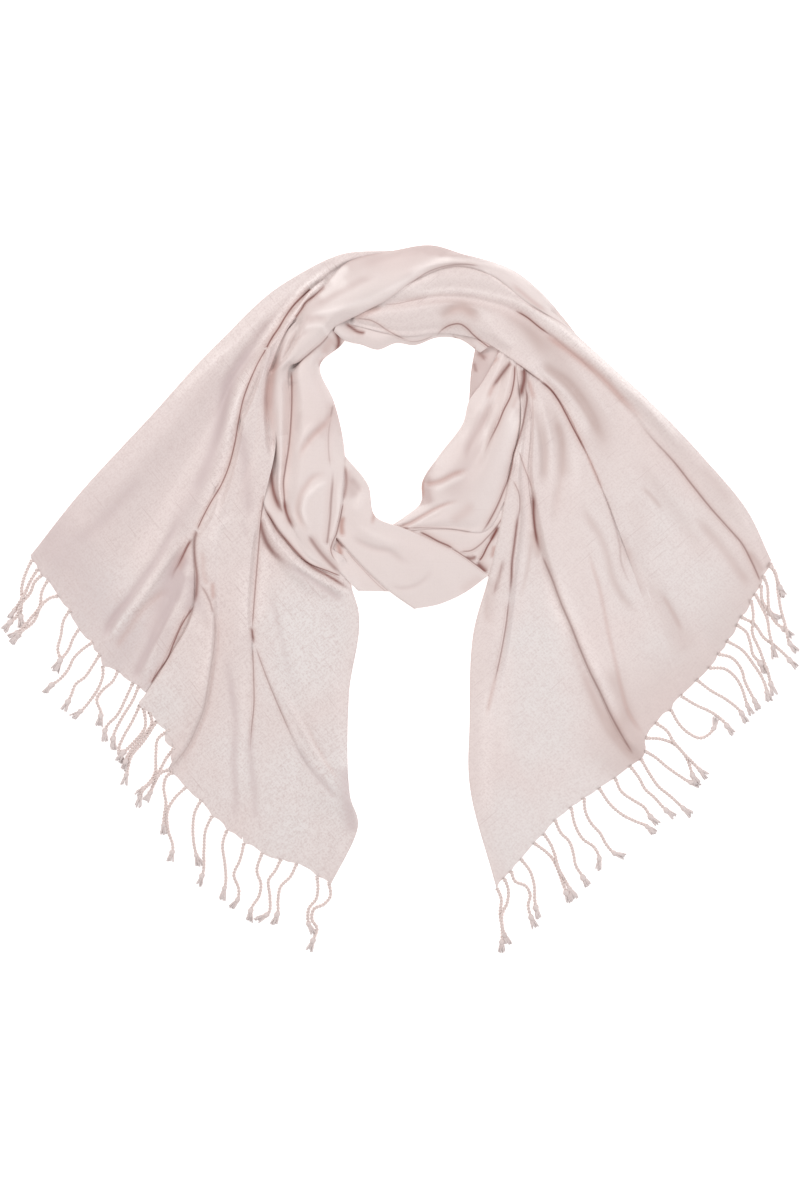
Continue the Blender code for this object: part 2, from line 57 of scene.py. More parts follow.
CELL = 2.0 * MM               # grid on which resting heights are compared
LIFT_REACH = 2                # points round a lifted one that are lifted with it
LIFT_ROUNDS = 4               # how often that lift is smoothed
ROLL = 2.6 * MM               # how far in a folded edge starts to roll under
ROLL_DROP = 0.7               # how far down it rolls, as a share of that
ROLL_WARMTH = 0.22            # warm light on the outer half of a rolled edge

# How an edge melts into the cloth under it.
MELTED_REST = 0.15 * MM       # its height over that cloth
MELTED_WALL = 0.15            # share of its thickness that is left
MELT_GAIN = 1.5               # makes the middle of a patch melt wholly
MELT_LOSS = 0.1               # and ends the patch where it is faint
MELT_LEAST = 0.01             # share under which a point stays where it is
RAY_HEIGHT = 1.0              # height from which the cloth below is looked for
DOWN = (0.0, 0.0, -1.0)

# Slight unevenness of soft cloth, as waves laid over each other.
RIPPLES = 14
RIPPLE_WIDTH = (0.018, 0.06)  # least and greatest, across the stretch
RIPPLE_LENGTH = (0.10, 0.35)  # least and greatest, along the stretch
RIPPLE_HEIGHT = 0.16          # in mm

# ---- the folds -----------------------------------------------------------------------------
# One row for each long fold, from one side of the stretch to the other.
# Each entry is a section: square across the board, square down the board, height in mm.
TAIL_LEFT_OUTER = (
    ("outer edge", (392, 251, 8), (340, 255, 6), (288, 281, 4), (220, 341, 3), (150, 417, 2),
     (80, 493, 1.5), (31, 555, 1.2)),
    ("first swell", (393, 255, 9), (343, 261, 9), (297, 290, 9), (233, 352, 11), (168, 434, 9),
     (101, 519, 6), (50, 583, 1.2)),
    ("long hollow", (394, 262, 8), (346, 269, 7), (305, 297, 6), (245, 362, 4), (190, 453, 2),
     (134, 545, 1.5), (78, 627, 1.2)),
    ("second swell", (394, 268, 9), (348, 275, 12), (310, 302, 15), (257, 371, 15), (210, 467, 12),
     (158, 566, 9), (104, 662, 4)),
    ("pleat hollow", (395, 272, 8), (350, 281, 8), (315, 306, 10), (263, 377, 10), (221, 478, 6),
     (170, 577, 3), (121, 675, 1.2)),
    ("pleat", (395, 275, 7), (351, 285, 6), (318, 309, 8), (268, 382, 9), (230, 486, 8),
     (184, 586, 9), (137, 687, 4)),
    ("tucked edge", (396, 279, 5), (353, 290, 5), (323, 314, 5), (275, 389, 5), (240, 495, 3),
     (206, 600, 1.5), (160, 700, 1.2)),
)
TAIL_LEFT_MIDDLE = (
    ("pleat edge", (337, 270, 12), (297, 304, 17), (252, 378, 18), (235, 448, 15), (197, 535, 12),
     (194, 609, 11), (169, 658, 9), (141, 701, 6)),
    ("pleat middle", (337, 274, 14), (299, 306, 20), (257, 378, 21), (243, 450, 17), (207, 540, 14),
     (204, 612, 13), (188, 672, 10), (157, 722, 6)),
    ("pleat lap", (338, 277, 14), (300, 307, 19), (262, 378, 20), (250, 450, 16), (217, 540, 13),
     (213, 613, 12), (206, 690, 9), (173, 763, 6)),
    ("under the lap", (338, 279, 13), (301, 308, 18), (265, 378, 18), (254, 450, 14),
     (223, 540, 11), (219, 615, 6), (212, 696, 2.5), (178, 777, 1.6)),
    ("soft swell", (339, 281, 13), (302, 309, 17), (268, 377, 18), (262, 448, 15), (236, 533, 11),
     (232, 622, 7), (228, 718, 3.5), (207, 808, 1.6)),
    ("crossing edge", (340, 284, 11), (304, 310, 14), (270, 376, 15), (276, 441, 12),
     (261, 520, 10), (252, 632, 7), (253, 735, 3.5), (242, 840, 2.8)),
)
TAIL_LEFT_INNER = (
    ("covered edge", (250, 497, 3), (249, 516, 5), (247, 540, 3), (243, 632, 1.4), (240, 735, 1.2),
     (234, 782, 1.2), (228, 819, 1.2)),
    ("crossing", (264, 495, 4), (261, 521, 11), (260, 545, 4), (255, 632, 1.6), (253, 735, 1.2),
     (250, 790, 1.2), (245, 838, 1.2)),
    ("first swell", (282, 521, 4), (274, 543, 12), (272, 560, 5), (269, 640, 5), (270, 745, 1.2),
     (270, 802, 1.2), (264, 854, 1.2)),
    ("hollow", (305, 547, 4), (295, 564, 12), (291, 584, 5), (288, 660, 8), (296, 762, 1.4),
     (292, 814, 1.2), (285, 861, 1.2)),
    ("rolled fold", (325, 562, 4), (317, 579, 10), (314, 600, 5), (314, 682, 9), (318, 770, 7),
     (314, 824, 1.4), (305, 867, 1.2)),
    ("fold flank", (340, 568, 3), (336, 585, 8), (337, 606, 5), (336, 690, 7), (339, 785, 8),
     (338, 828, 2), (321, 877, 1.2)),
    ("inner edge", (350, 573, 2), (352, 588, 4), (358, 608, 3), (349, 695, 3), (350, 795, 4),
     (357.5, 829, 1.2), (332, 883, 1.2)),
)
LOOP_LEFT = (
    ("crossing edge", (308, 309, 5), (300, 318, 6), (272, 352, 6), (262, 400, 6), (259, 455, 6),
     (263, 502, 9), (278, 529, 12), (300, 557, 12), (328, 573, 9), (345, 580, 6)),
    ("deep crease", (311, 311, 7), (303, 320, 8), (277, 355, 6), (270, 402, 4), (274, 458, 4),
     (277, 500, 7), (288, 528, 11), (306, 556, 11), (330, 570, 9), (346, 578, 6)),
    ("narrow pleat", (315, 312, 10), (307, 321, 14), (284, 359, 16), (281, 402, 16), (281, 458, 14),
     (281, 500, 12), (291, 526, 12), (309, 555, 12), (332, 568, 9), (347, 576.5, 6)),
    ("long crease", (320, 314, 9), (312, 323, 12), (291, 368, 9), (290, 402, 8), (287, 458, 7),
     (285, 497, 9), (296, 531, 14), (313, 554, 12), (334, 566, 9), (347.5, 575, 6)),
    ("broad swell", (328, 318, 14), (320, 327, 20), (300, 368, 21), (304, 402, 23), (304, 458, 21),
     (303, 502, 20), (307, 531, 17), (320, 549, 13), (337, 562, 9), (348, 573.5, 6)),
    ("second swell", (336, 321, 14), (328, 330, 21), (307, 368, 23), (316, 402, 24), (319, 458, 21),
     (317, 503, 20), (317, 532, 17), (324, 547, 13), (339, 559, 9), (348.5, 572, 6)),
    ("neck pleat", (344, 326, 12), (336, 335, 18), (314, 368, 19), (326, 402, 20), (333, 458, 17),
     (331, 503, 16), (327, 534, 13), (329, 546, 10), (341, 557, 8), (349, 570.5, 5)),
    ("neck edge", (350, 331, 7), (345, 341, 10), (320, 367, 9), (334, 402, 9), (345, 457, 8),
     (343, 504, 8), (336, 540, 7), (334, 550, 6), (344, 557, 6), (350, 569, 4)),
)
LOOP_FRONT = (
    ("selvedge", (325, 465, 4), (325, 500, 4), (329, 530, 5), (341, 543, 7), (366, 570, 7),
     (390, 592, 6), (414, 609, 3)),
    ("lower swell", (332, 462, 7), (340, 495, 8), (350, 525, 9), (364, 539, 10), (392, 560, 10),
     (416, 582, 8), (440, 604, 3)),
    ("upper swell", (338, 459, 9), (355, 488, 12), (366, 520, 13), (385, 534, 13), (416, 551, 12),
     (441, 570, 9), (466, 592, 3)),
    ("neck edge", (345, 456, 6), (368, 485, 9), (377, 518, 12), (403, 528, 12), (438, 543, 10),
     (465, 557, 8), (489, 575, 4)),
)
LOOP_FRONT_UNDER = (
    ("turned edge", (322, 545, 2), (335, 566, 2), (347, 579.5, 2), (358, 591, 2)),
    ("covered edge", (342, 531, 2.5), (357, 555, 3), (374, 576, 3), (389, 591.5, 2)),
)
LOOP_RIGHT = (
    ("neck edge", (500, 350, 8), (483, 381, 6), (469, 401, 5), (462, 425, 4), (438, 457, 4),
     (422, 483, 4), (421, 502, 5), (404, 517, 6), (384, 530, 7)),
    ("first pleat", (506, 351, 14), (492, 385, 15), (480, 412, 14), (472, 441, 14), (452, 471, 14),
     (436, 496, 12), (430, 508, 10), (410, 520, 9), (386, 531, 7)),
    ("hollow", (510, 352, 14), (498, 388, 12), (488, 417, 12), (480, 449, 14), (463, 480, 16),
     (447, 504, 13), (436, 513, 11), (413, 522, 9), (388, 532, 7)),
    ("second pleat", (515, 354, 18), (507, 391, 22), (499, 424, 24), (490, 457, 23), (477, 489, 20),
     (460, 514, 15), (442, 519, 12), (418, 524, 9), (390, 532, 7)),
    ("third pleat", (521, 356, 18), (517, 396, 22), (510, 430, 22), (501, 464, 20), (489, 497, 16),
     (472, 523, 12), (447, 524.5, 10), (421, 527, 8), (392, 533, 7)),
    ("tucked edge", (531, 360, 12), (532, 401, 10), (526, 433, 9), (517, 471, 8), (504, 504, 7),
     (482, 533, 6), (451, 530, 6), (424, 530, 6), (395, 534, 5)),
)
LOOP_RIGHT_UNDER = (
    ("covered edge", (512, 452, 7), (500, 487, 6), (484, 517, 5), (450, 519, 5), (405, 520, 4)),
    ("upper pleat", (514, 470, 8), (505, 510, 9), (489, 535, 8), (455, 534, 7), (405, 528, 5)),
    ("lower pleat", (516, 487, 6), (509, 530, 7), (494, 555, 6), (459, 547, 5), (405, 537, 3)),
    ("fold edge", (519, 505, 3), (512, 555, 2), (496, 576, 2), (464, 568, 2), (406, 547, 2)),
)
NECK_BACK = (
    ("neck edge", (475, 349, 3), (471, 372, 3), (469, 401, 2)),
    ("middle", (487, 344, 4), (483, 372, 4), (480, 402, 3)),
    ("covered edge", (501, 339, 3), (497, 374, 3), (492, 404, 2)),
)
NECK_FRONT = (
    ("neck edge", (334, 333, 8), (344, 341, 7), (361, 345, 6), (378, 350, 6), (396, 343.5, 6),
     (414, 345.5, 6), (437, 338, 6), (458, 339, 6), (480, 353, 6)),
    ("twist", (338, 324, 13), (348, 331, 12), (363, 335, 12), (380, 339, 13), (397, 334, 13),
     (415, 335, 13), (438, 330, 12), (462, 331, 11), (489, 347, 11)),
    ("covered edge", (343, 313, 9), (352, 319, 9), (366, 322, 9), (382, 325, 9), (398, 323, 9),
     (416, 324, 9), (439, 322, 9), (466, 323, 9), (497, 340, 9)),
)
TAIL_RIGHT_INNER = (
    ("selvedge", (514, 354, 12), (520, 425, 10), (510, 470, 8), (501, 518, 6), (489, 575, 4),
     (473, 635, 2), (469.5, 720, 1.5), (472, 800, 1.2), (497, 889, 1.2)),
    ("edge fold", (517, 355, 14), (523, 426, 16), (517, 472, 15), (517, 518, 13), (510, 575, 12),
     (503, 637, 9), (487, 714, 5), (484, 797, 1.6), (503, 877, 1.2)),
    ("fold foot", (520, 356, 13), (526, 426, 13), (521, 473, 11), (523, 517, 8), (518, 575, 5),
     (512, 640, 2), (500, 728, 1.2), (498, 802, 1.2), (516, 864, 1.2)),
    ("panel", (523, 357, 13), (528, 426, 13), (524, 474, 9), (528, 517, 5), (531, 574, 2),
     (536, 640, 1.2), (536, 722, 1.2), (545, 793, 1.2), (556, 820, 1.2)),
    ("second panel", (526, 358, 13), (530, 427, 13), (527, 475, 9), (532, 517, 5), (541, 573, 2),
     (554, 636, 1.2), (569, 706, 1.2), (585, 767, 1.2), (600, 788, 1.2)),
    ("lap foot", (529, 360, 13), (531, 427, 12), (529, 475, 8), (535, 516, 5), (547, 572, 2),
     (568, 630, 1.4), (594, 690, 1.4), (616, 738, 1.4), (636, 762, 1.2)),
    ("lap", (532, 361, 14), (534, 427, 17), (533, 475, 15), (540, 515, 13), (553, 570, 11),
     (575, 627, 9), (601, 685, 8), (624, 731, 6), (644, 755, 3)),
    ("lap shoulder", (536, 363, 14), (543, 423, 14), (548, 468, 11), (560, 509, 9), (578, 561, 8),
     (597, 615, 7), (611, 665, 6), (630, 706, 4), (645, 738, 2)),
    ("hollow", (541, 366, 12), (555, 418, 11), (566, 460, 8), (583, 501, 6), (602, 548, 4),
     (619, 597, 2.5), (632, 643, 1.8), (646, 682, 1.4), (662, 715, 1.2)),
    ("covered edge", (547, 369, 9), (567, 410, 8), (585, 448, 6), (606, 489, 4), (628, 535, 3),
     (646, 582, 2), (660, 625, 1.4), (673, 666, 1.2), (684, 692, 1.2)),
)
TAIL_RIGHT_OUTER = (
    ("outer edge", (336, 300, 14), (398, 282, 20), (450, 260, 22), (490, 267, 20), (541, 303, 13),
     (585, 343, 6), (645, 397, 3), (703, 457, 2), (747, 510, 1.5), (771, 560, 1.2)),
    ("outer fold", (338, 305, 16), (399, 291, 25), (450, 279, 27), (497, 286, 27), (545, 318, 23),
     (590, 357, 19), (648, 410, 15), (706, 474, 10), (745, 523, 7), (767, 570, 3)),
    ("long crease", (340, 311, 13), (400, 303, 17), (455, 297.5, 18), (500, 306, 18),
     (546, 335, 14), (591, 372, 10), (645, 427, 6), (700, 498, 4), (735, 536, 2.5),
     (759, 587, 1.4)),
    ("broad swell", (342, 316, 14), (401, 314, 23), (456, 308, 26), (499, 321, 26), (542, 350, 22),
     (585, 392, 16), (630, 448, 11), (682, 520, 7), (713, 575, 3.5), (738, 627, 1.2)),
    ("second swell", (345, 320, 13), (402, 326, 19), (455, 321, 23), (490, 333, 24), (532, 361, 22),
     (573, 401, 17), (612, 458, 11), (655, 532, 7), (684, 603, 3), (711, 666, 1.2)),
    ("lower edge", (350, 325, 10), (403, 337, 11), (445, 334, 11), (480, 341, 13), (523, 369.5, 14),
     (557, 398, 12), (588, 456, 9), (622, 540, 6), (651, 620, 2.8), (684, 693, 2.6)),
)
CROWN = (
    ("outer edge", (271, 436, 8), (268, 406, 14), (268, 379, 20), (280, 349, 17), (301, 312, 17),
     (326, 286, 15), (348, 263, 13), (390, 252, 7), (430, 245.5, 5), (470, 257.5, 9),
     (510, 269.5, 11), (545, 297, 8), (562, 316, 6), (579, 338, 3)),
    ("outer swell", (276, 436, 12), (275, 405, 18), (274, 377, 23), (286, 353, 27), (308, 322, 31),
     (334, 298, 31), (355, 280, 29), (390, 268, 27), (425, 258, 25), (463, 261.5, 24),
     (504, 271, 22), (541, 298, 15), (559, 318.5, 8), (578.5, 338.4, 4)),
    ("inner swell", (282, 436, 12), (283, 403, 18), (281, 374, 24), (293, 358, 29), (315, 335, 33),
     (336, 314, 35), (360, 298, 36), (389, 286, 35), (420, 271, 35), (457, 265.5, 32),
     (496, 274, 26), (534, 302, 17), (555, 320.5, 8), (578, 338.7, 4)),
    ("front edge", (288, 435, 8), (289.5, 402, 13), (289, 370, 20), (300, 363, 19), (321, 347, 20),
     (335, 329, 19), (363, 314, 19), (388, 301, 21), (414, 283, 23), (452, 269, 24), (489, 277, 22),
     (527, 305.5, 14), (550, 319, 8), (577.5, 339, 4)),
)

# Each stretch in the order it is laid down: name, folds, which of its sides roll under, cut
# (width, length) in metres, and what it lies on.
STRETCHES = (
    ("tail_left_inner", TAIL_LEFT_INNER, "both", (0.17, 0.42), ["table_top"]),
    ("tail_left_outer", TAIL_LEFT_OUTER, "first", (0.16, 0.65), ["table_top"]),
    ("loop_front_under", LOOP_FRONT_UNDER, "none", (0.035, 0.088), ["table_top"]),
    ("loop_right_under", LOOP_RIGHT_UNDER, "both", (0.055, 0.21), ["table_top"]),
    ("neck_back", NECK_BACK, "both", (0.035, 0.077), ["table_top"]),
    ("loop_right", LOOP_RIGHT, "both", (0.08, 0.31), ["loop_right_under"]),
    ("loop_front", LOOP_FRONT, "both", (0.08, 0.24), ["loop_right"]),
    ("loop_left", LOOP_LEFT, "both", (0.095, 0.36), ["loop_front", "tail_left_inner"]),
    ("tail_right_inner", TAIL_RIGHT_INNER, "both", (0.20, 0.60), ["loop_right", "loop_front"]),
    ("neck_front", NECK_FRONT, "both", (0.032, 0.21), ["neck_back"]),
    ("tail_right_outer", TAIL_RIGHT_OUTER, "first", (0.135, 0.70), ["tail_right_inner"]),
    ("tail_left_middle", TAIL_LEFT_MIDDLE, "first", (0.09, 0.70), ["tail_left_outer"]),
    ("crown", CROWN, "both", (0.055, 0.50), ["tail_right_outer", "loop_left"]),
)

# Where an edge melts into the cloth under it: its stretch, middle of the patch on the board,
# half width and half height in squares, lean in degrees.
MELTS = (
    ("tail_left_middle", 249, 745, 26, 110, 0),
    ("tail_right_outer", 655, 640, 30, 100, -28),
    ("tail_right_outer", 346, 323, 7, 9, 0),
    ("crown", 276, 420, 30, 48, 0),
    ("crown", 570, 330, 30, 22, 45),
    ("tail_left_middle", 338, 276, 14, 16, 0),
    ("loop_left", 350, 574, 12, 14, 0),
    ("crown", 285, 346, 9, 34, 30),
    ("tail_left_middle", 285, 318, 7, 40, 36),
    ("tail_left_middle", 251, 385, 7, 48, 20),
    ("tail_left_middle", 229, 462, 7, 48, 14),
    ("tail_left_middle", 206, 514, 7, 30, 28),
    ("tail_left_middle", 258, 575, 7, 75, 5),
    ("tail_left_middle", 272, 412, 6, 40, 0),
)

# ---- creases -------------------------------------------------------------------------------
# How a crease dies away beside its line; a share is one of its half width.
CREASE_STEP = 2.0 * MM        # distance between the points of its line
CREASE_REACH = 3.2            # share out to which it acts
LEAST_REACH = 5.0 * MM        # but at least this far
SOFT_RATE = 1.6               # how fast a dent, a swell and warm light die away
GAP_DEPTH = 0.7               # share of its height that a gap has
GAP_SHARE = 1.3               # share over which it has it
GAP_RATE = 2.2                # how fast the dark of its inside dies away
GAP_WARMTH = 1.7              # share over which warm light lies round it
CLEFT_DEPTH = 0.5             # share of its height that a cleft has
CLEFT_RATE = 1.1              # how fast it dies away
LAP_INSET = 0.22              # share by which the lip of a lap lies back from its line
LAP_RATE = 1.2                # how fast the top of a lap dies away
LAP_LIP = 0.17                # share over which its lip drops
LAP_LINE = 0.16               # half width of the line under it, as a share of the lap's
LINE_WARMTH = 2.2             # share over which warm light lies beside a line
LINE_END = 3.6 * MM           # distance at which a line has no mark left
LINE_FADE = 1.8 * MM          # over which its mark dies away to there
NO_LINE = 9.0                 # distance past a line, in half widths, where there is none
# Painted light and shade of the creases: warm light beside a dark line, and how dark the painted shade is
# inside a gap and along a thin line.
HALO = 0.35                   # warm light beside a dark line, as a share of its strength
GAP_SHADE_DEPTH = 0.90                # how dark the inside of a gap is
LINE_SHADE_DEPTH = 0.95               # how dark a thin line is
LINE_WIDTH = 0.5              # width of a thin line, as a share of its crease

# The initials of the stretches.
GROUPS = {
    "A": "tail_left_outer", "M": "tail_left_middle", "B": "tail_left_inner", "L": "loop_left",
    "F": "loop_front", "U": "loop_front_under", "R": "loop_right", "V": "loop_right_under",
    "K": "neck_back", "N": "neck_front", "I": "tail_right_inner", "O": "tail_right_outer",
    "C": "crown",
}

# Each crease: initials of the stretches that it shows on, kind, half width in squares, height in
# mm, strength of its painted mark of light and shade, shares of its length over which it starts
# and dies away, and its way over the board. A height of 0 leaves the painted mark alone.
# Kinds: a dent has painted shade and a swell a painted highlight, warm is painted warm shade of
# light that comes through the cloth, a gap is open with painted shade inside, a line is a thin
# dark line of painted shade with no relief, a cleft is such a line in a narrow valley, and a lap
# is an edge that drops on one side of its way, with the cloth it belongs to on the side it names
# and as much painted shade under its edge as its strength gives.
CREASES = (
    # broad painted shade where the cloth turns from the light
    ("A", "dent", 50, 0, 0.45, 0.1, 0.1, ((15, 500), (60, 570), (110, 622), (185, 720))),
    ("A", "dent", 60, 0, 0.28, 0.1, 0.1, ((30, 560), (120, 480), (175, 420), (222, 355))),
    ("C", "dent", 24, 0, 0.60, 0.1, 0.1, (
        (290, 330), (318, 285), (350, 262), (400, 256), (470, 250), (500, 262))),
    ("O", "dent", 17, 0, 0.50, 0.2, 0.3, (
        (508, 317), (534, 330), (556, 363), (580, 394), (600, 428), (611, 470))),
    ("IO", "dent", 55, 0, 0.42, 0.1, 0.1, ((790, 545), (750, 610), (710, 660), (660, 715), (600, 790))),
    ("O", "dent", 30, 0, 0.15, 0.2, 0.2, ((640, 400), (690, 470), (740, 540))),
    ("R", "dent", 22, 0, 0.50, 0.2, 0.2, ((485, 400), (470, 460), (440, 505))),
    ("K", "dent", 20, 0, 1.0, 0.1, 0.1, ((470, 330), (475, 380), (470, 430))),
    # painted highlight and shade on the sides of the folds; a few rows also raise the cloth
    ("A", "swell", 10, 0, 0.50, 0.2, 0.2, ((350, 262), (320, 280), (290, 305), (265, 335), (240, 360))),
    ("CO", "swell", 10, 0, 0.45, 0.2, 0.2, ((345, 322), (375, 305), (405, 290), (440, 272))),
    ("M", "swell", 8, 0, 0.50, 0.2, 0.2, ((240, 400), (233, 440), (225, 470), (208, 500))),
    ("L", "swell", 8, 0, 0.55, 0.1, 0.2, ((286, 400), (287, 430), (286, 465), (285, 500))),
    ("MB", "swell", 8, 0, 0.50, 0.2, 0.2, ((268, 540), (264, 580), (258, 630))),
    ("RI", "swell", 9, 0, 1.0, 0.2, 0.2, ((518, 410), (516, 440), (513, 470))),
    ("I", "swell", 12, 0, 0.80, 0.2, 0.2, ((546, 565), (560, 605), (582, 650), (608, 700), (625, 730))),
    ("I", "dent", 7, 0, 0.60, 0.2, 0.2, ((532, 528), (536, 545), (540, 560))),
    ("I", "swell", 10, 0, 0.25, 0.2, 0.2, ((500, 600), (505, 700), (500, 780))),
    ("M", "swell", 12, 0, 0.35, 0.2, 0.2, ((198, 600), (205, 650), (195, 700))),
    ("A", "dent", 13, 0, 0.80, 0.2, 0.2, ((190, 540), (172, 575), (160, 620), (155, 650))),
    ("MLC", "dent", 8, 0, 0.65, 0.2, 0.2, ((278, 345), (270, 385), (268, 415))),
    ("LC", "dent", 8, 0, 0.25, 0.2, 0.2, ((316, 318), (300, 335), (290, 350))),
    ("R", "dent", 10, 0, 0.90, 0.1, 0.1, ((427, 460), (423, 485), (424, 508))),
    ("L", "dent", 12, 0, 0.50, 0.2, 0.2, ((338, 400), (328, 425), (316, 440))),
    ("B", "dent", 10, 0, 0.60, 0.1, 0.1, ((346, 765), (347, 795), (354, 835))),
    ("O", "dent", 17, 0, 0.24, 0.2, 0.2, ((436, 322), (462, 311), (478, 332))),
    ("I", "dent", 9, 0, 0.30, 0.2, 0.2, ((545, 395), (546, 440), (542, 490))),
    ("I", "dent", 12, 0, 0.50, 0.2, 0.1, ((608, 660), (616, 685), (632, 730), (650, 770))),
    ("C", "dent", 10, 0, 0.35, 0.1, 0.1, ((395, 250), (435, 248), (475, 258))),
    ("O", "dent", 16, 0, 0.35, 0.2, 0.2, ((645, 580), (670, 620), (692, 655))),
    ("A", "swell", 5, 1.0, 0.65, 0.2, 0.2, (
        (255, 358), (242, 385), (234, 415), (228, 445), (220, 470), (208, 495), (196, 520))),
    ("A", "dent", 9, 0, 0.90, 0.2, 0.2, ((186, 572), (180, 586), (172, 602))),
    ("AM", "dent", 8, 0, 0.80, 0.2, 0.2, ((196, 570), (194, 592), (187, 616))),
    ("M", "dent", 7, 0, 0.50, 0.2, 0.2, ((192, 590), (202, 610), (210, 630))),
    ("F", "dent", 9, 0, 0.70, 0.2, 0.2, ((343, 470), (350, 484), (356, 500))),
    ("O", "dent", 12, 0, 0.20, 0.2, 0.2, ((630, 495), (640, 530), (648, 555))),
    ("O", "dent", 13, 0, 0.75, 0.2, 0.2, ((620, 545), (629, 575), (638, 600))),
    ("O", "swell", 9, 0, 0.75, 0.2, 0.2, ((520, 308), (560, 335), (600, 366), (640, 400))),
    ("O", "swell", 8, 0, 0.60, 0.2, 0.2, ((520, 356), (548, 382), (575, 413), (592, 440))),
    ("K", "dent", 14, 0, 1.0, 0.1, 0.1, ((474, 345), (477, 362), (474, 385))),
    ("R", "dent", 9, 0, 0.80, 0.1, 0.1, ((423, 475), (424, 492), (428, 505))),
    ("L", "dent", 6, 0, 0.80, 0.2, 0.2, ((333, 328), (338, 338), (335, 350))),
    ("L", "dent", 6, 0, 0.55, 0.2, 0.2, ((335, 395), (341, 420), (345, 442))),
    ("L", "swell", 6, 0, 0.60, 0.2, 0.2, ((284, 465), (282, 490), (286, 508))),
    ("C", "swell", 6, 0, 0.80, 0.2, 0.2, ((408, 278), (430, 268), (455, 262))),
    ("L", "swell", 8, 3.5, 0, 0.2, 0.2, ((284, 360), (290, 370), (292, 386))),
    ("AMLC", "swell", 2.6, 0, 1.0, 0.1, 0.2, (
        (322, 285), (311, 294.5), (303, 303), (296, 313), (288, 326))),
    ("A", "dent", 8, 0, 0.60, 0.2, 0.2, ((186, 555), (180, 567), (174, 581))),
    ("I", "swell", 9, 0, 0.50, 0.2, 0.2, ((489, 670), (485, 750), (488, 825))),
    ("A", "dent", 8, 0, 0.40, 0.2, 0.2, ((335, 247), (300, 262), (270, 285), (245, 310))),
    ("I", "dent", 5.5, 0, 0.70, 0.2, 0.05, (
        (564, 618), (576, 655), (590, 690), (604, 720), (621, 745), (639, 762))),
    ("O", "dent", 6, 0, 0.50, 0.2, 0.1, ((592, 575), (605, 620), (618, 662), (631, 705), (643, 738))),
    ("IO", "dent", 9, 0, 0.50, 0.2, 0.2, ((555, 418), (561, 450), (565, 482))),
    ("R", "swell", 3, 0, 0.60, 0.2, 0.2, ((508, 370), (498, 398), (487, 430), (481, 465))),
    ("M", "swell", 8, 0, 0.55, 0.2, 0.2, ((243, 560), (245, 600), (244, 640))),
    ("C", "swell", 8, 0, 0.60, 0.2, 0.2, ((318, 300), (332, 290), (350, 282))),
    ("I", "dent", 8, 0, 0.50, 0.2, 0.2, ((492, 575), (490, 600), (488, 628))),
    ("IO", "dent", 18, 0, 0.55, 0.2, 0.2, ((590, 665), (605, 700), (625, 740))),
    ("L", "dent", 6, 0, 0.50, 0.2, 0.2, ((328, 421), (318, 432), (306, 446))),
    ("M", "dent", 5, 0, 0.60, 0.2, 0.2, ((251, 632), (253, 642), (255, 654))),
    # left end, outer layer
    ("A", "dent", 4, -1.2, 0.30, 0.1, 0.1, (
        (345, 261), (333, 263), (319, 271), (306, 283), (290, 299), (274, 320), (260, 337))),
    ("A", "dent", 9, -0.5, 0.10, 0.3, 0.3, ((352, 257), (317, 268), (290, 290), (270, 310), (250, 330))),
    ("A", "swell", 4, 1.0, 0.80, 0.2, 0.3, (
        (333, 267), (324, 273), (308, 286), (292, 302), (277, 320), (260, 343), (248, 362))),
    ("A", "dent", 8, -2.2, 0.95, 0.15, 0.15, (
        (278, 311), (261, 337), (243, 361), (230, 381), (224, 403), (220, 426), (215, 444), (207, 468),
        (192, 497))),
    ("A", "dent", 10, -1.0, 0.45, 0.3, 0.3, ((207, 468), (192, 497), (178, 521), (166, 541))),
    ("A", "dent", 5, -2.8, 0.75, 0.2, 0.1, (
        (183, 515), (168, 541), (158, 558), (144, 578), (129, 599), (114, 618), (103, 640))),
    ("A", "swell", 4, 1.8, 0.45, 0.2, 0.1, (
        (200, 531), (185, 541), (170, 558), (155, 580), (140, 601), (124, 619), (109, 642))),
    ("A", "swell", 9, 1.0, 0.40, 0.3, 0.3, ((232, 342), (213, 359), (187, 385), (166, 406))),
    ("A", "line", 2.6, -2.0, 0.9, 0.15, 0.6, (
        (193, 538), (189, 544), (184, 554), (179, 564), (174, 573), (171, 583))),
    ("A", "dent", 5, -2.2, 0.65, 0.2, 0.1, (
        (182, 578), (177, 591), (170, 610), (159, 630), (148, 651), (138, 671), (133, 682))),
    ("A", "warm", 4.5, -1.2, 0.25, 0.2, 0.15, ((170, 588), (162, 593), (144, 608), (129, 629), (114, 651))),
    ("A", "swell", 4, 1.8, 0.35, 0.2, 0.1, (
        (189, 562), (188, 580), (183, 601), (170, 621), (159, 643), (150, 664), (144, 682))),
    ("A", "dent", 8, -0.8, 0.30, 0.3, 0.2, ((150, 470), (125, 497), (100, 524), (72, 546))),
    ("AM", "gap", 2.2, -1.5, 0.75, 0.03, 0.15, (
        (197, 531), (195, 538), (194.5, 548), (195.6, 560), (197.5, 576), (197, 592), (195, 605))),
    ("AM", "line", 1.7, 0, 0.9, 0.1, 0.05, (
        (195, 605), (183, 623), (174, 643), (168, 658), (159, 671), (150, 685))),
    # left end, middle layer
    ("AM", "line", 1.8, 0, 1.0, 0.04, 0.005, (
        (312, 288.5), (303.5, 296), (294.5, 305), (286, 316.5), (279.5, 328), (272.5, 338.5),
        (266.5, 350))),
    ("AM", "line", 1.3, 0, 0.90, 0.003, 0.03, (
        (266.5, 350), (259, 363), (252, 378), (244, 399.5), (239, 422), (235, 444), (229, 467),
        (221, 486), (211, 502.5), (200, 524), (197, 531))),
    ("AMC", "dent", 2.2, -0.8, 0.60, 0.1, 0.2, (
        (312, 288), (324, 279), (333, 272), (346, 264), (355, 260.5), (367, 257), (381, 254.3),
        (390, 252))),
